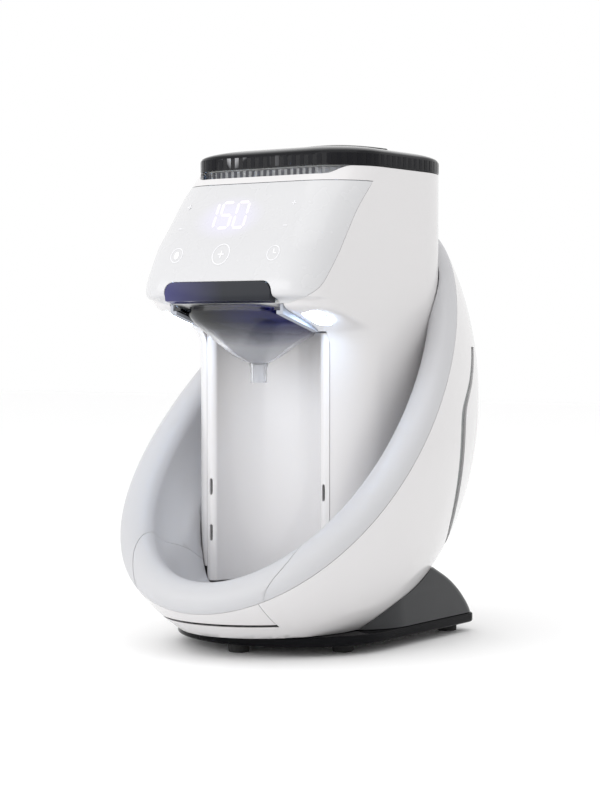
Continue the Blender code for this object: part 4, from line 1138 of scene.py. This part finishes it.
tail_rows = ((12.8, 0.4, 74.6), (15.0, 0.8, 74.0), (21.0, 1.6, 70.0), (29.0, 2.4, 62.0),
             (37.0, 3.4, 51.0), (45.0, 5.0, 36.0))
tail_rings = []
for z, inset, back in flowing(tail_rows, 5):
    plan = rounded_plan(74.0 - inset, -52.0, back, 40.0, 12.0)
    tail_rings.append(level(plan, z))
tail = loft("tail_skin", tail_rings)
boolean(tail, "DIFFERENCE", cradle_egg("egg", -GAP))
boolean(tail, "DIFFERENCE", box_solid("socket", *SOCKET_ROOM))
finished(tail, "tail_cover")

foot = [(0, 0.5), (2.4, 0.5), (2.6, 0), (3.6, 0), (3.8, 0.5), (4.4, 0.5), (4.6, 0), (5.7, 0),
        (6.3, 0.3), (6.5, 0.9), (6.5, 5.2), (6.2, 5.6), (0, 5.6)]
for node in sorted(n for n in BODY_OF if n.startswith("foot_")):
    low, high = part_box(node)
    middle = (low + high) / 2 / MM
    finished(turned(f"{node}_skin", foot, (middle.x, middle.y - CENTRING)), node)

# %% [markdown]
# ## What the panel shows
# The display's three digits shine through the panel: seven-segment figures, leaning a
# little. Touch marks are printed below and beside them: rings, a drop and plus and minus.

# %% Digits and marks
SEGMENTS = {"1": "bc", "5": "afgcd", "0": "abcdef"}
LEAN = -0.14


def panel_front(height):
    """How far forward the panel's face lies at each height."""
    rows = flowing(HEAD_LEVELS, 5)
    return np.interp(height, rows[:, 0], rows[:, 1])


def on_panel(name, outlines, lift=0.02, thick=0.16):
    """Thin tiles lying on the panel, from (x, z) outlines."""
    points, faces = [], []
    for outline in outlines:
        flat = np.asarray(outline, float)
        count, start = len(flat), len(points)
        for out in (lift, lift + thick):
            points += np.column_stack([flat[:, 0], panel_front(flat[:, 1]) - out, flat[:, 1]]).tolist()
        ring = list(range(count))
        faces += [[start + i for i in ring], [start + count + i for i in ring]]
        faces += [[start + i, start + (i + 1) % count, start + count + (i + 1) % count, start + count + i]
                  for i in ring]
    return mesh_object(name, points, faces)


def stroke(a, b, width):
    """A straight stroke with pointed ends."""
    a, b = np.array(a, float), np.array(b, float)
    along = (b - a) / np.linalg.norm(b - a)
    side = np.array([-along[1], along[0]]) * width / 2
    tip = along * width / 2
    return np.array([a, a + tip + side, b - tip + side, b, b - tip - side, a + tip - side])


def ring_strokes(centre, radius, width, count=40):
    """A circle drawn as short quads, as separate tiles that share their ends."""
    outer, inner = disc(radius, count, centre), disc(radius - width, count, centre)
    return [np.array([outer[i], outer[(i + 1) % count], inner[(i + 1) % count], inner[i]])
            for i in range(count)]


def digit(figure, left, low, wide=8.2, tall=16.2, width=2.0):
    """The lit segments of one figure, each moved by LEAN as it rises."""
    right, middle, high = left + wide, low + tall / 2, low + tall
    gap = 0.35
    ends = {"a": ((left, high), (right, high)), "b": ((right, high), (right, middle)),
            "c": ((right, middle), (right, low)), "d": ((left, low), (right, low)),
            "e": ((left, middle), (left, low)), "f": ((left, high), (left, middle)),
            "g": ((left, middle), (right, middle))}
    tiles = []
    for segment in SEGMENTS[figure]:
        a, b = (np.array(p, float) for p in ends[segment])
        along = (b - a) / np.linalg.norm(b - a) * gap
        tile = stroke(a + along, b - along, width)
        tiles.append(tile + np.column_stack([(tile[:, 1] - low) * LEAN, np.zeros(len(tile))]))
    return tiles


tiles = [t for i, figure in enumerate("150") for t in digit(figure, -26.0 + i * 11.7, 261.7)]
finished(on_panel("display_digits", tiles), body="housing", slot="light_lens", material=DIGIT_FINISH)

ROW = 245.0  # height of the three round marks
START_X, SIDE_X = -2.5, 37.0
DROP_Z = 244.4  # widest part of the drop
marks = ring_strokes((START_X, ROW), 6.5, 0.5)
for x in (-SIDE_X, SIDE_X):
    marks += ring_strokes((x, ROW), 4.6, 0.4, 32)
marks += [
    stroke((START_X - 2.5, ROW), (START_X + 2.5, ROW), 0.7),
    stroke((START_X, ROW - 2.4), (START_X, ROW + 2.4), 0.7),
    stroke((SIDE_X, ROW), (SIDE_X, ROW + 2.8), 0.6),
    stroke((SIDE_X, ROW), (SIDE_X + 2.2, ROW), 0.6),
]
drop = squarish((-SIDE_X, DROP_Z), (1.7, 1.9), 2.0, 24)
pointed = drop * (1, 0) + (0, 1) * (DROP_Z + (drop - DROP_Z) * 1.5)
marks.append(np.where(drop[:, 1:] > DROP_Z, pointed, drop))
for x in (-43.0, 37.5):
    marks += [
        stroke((x - 1.6, 262.0), (x + 1.6, 262.0), 0.5),
        stroke((x - 1.6, 276.0), (x + 1.6, 276.0), 0.5),
        stroke((x, 274.4), (x, 277.6), 0.5),
    ]
finished(on_panel("panel_marks", marks), body="housing", slot="panel_white", material=PRINT_FINISH)

# %% [markdown]
# ## Stage, light and camera
# A white floor, an even white surround and large soft lights from the front and above
# leave the front brighter than the right side, with a soft shadow under the base.


# %% Stage
AIM = Vector((0.0, 0.0, 0.16))
FLOOR_HALF = 4000.0


def stage_light(name, at, size, power):
    """A soft rectangular light that faces the machine."""
    data = bpy.data.lights.new(name, "AREA")
    data.shape = "RECTANGLE"
    data.size, data.size_y = size
    data.energy = power
    made = put(name, data)
    made.location = at
    made.rotation_euler = (AIM - Vector(at)).to_track_quat("-Z", "Y").to_euler()


corners = [(FLOOR_HALF * x, FLOOR_HALF * y, 0.0) for x, y in ((-1, -1), (1, -1), (1, 1), (-1, 1))]
floor = mesh_object("floor", corners, [(0, 1, 2, 3)])
ground = Paint("floor_white", Specular_IOR_Level=0.2)
tone = ground.blend(ground.noise(3.0), (0.99, 0.99, 0.99), (0.985, 0.985, 0.985))
floor.data.materials.append(ground.set(Base_Color=tone, Roughness=ground.noise(30.0) * 0.1 + 0.6))

world = bpy.data.worlds.new("surround")
world.use_nodes = True
surround = world.node_tree.nodes["Background"].inputs
surround["Color"].default_value = (1.0, 1.0, 1.0, 1.0)
surround["Strength"].default_value = 1.0
bpy.context.scene.world = world
bpy.context.scene.view_settings.view_transform = "Standard"
stage_light("key", (-0.6, -1.9, 0.7), (2.2, 1.4), 15.0)
stage_light("top", (0.1, -0.2, 1.7), (1.4, 1.4), 4.0)

camera = put("camera", bpy.data.cameras.new("camera"))
camera.data.lens = 90.2
camera.location = (0.7457, -1.0732, 0.197)
camera.rotation_euler = (math.radians(90 - 1.915), 0.0, math.radians(35.372))
bpy.context.scene.camera = camera
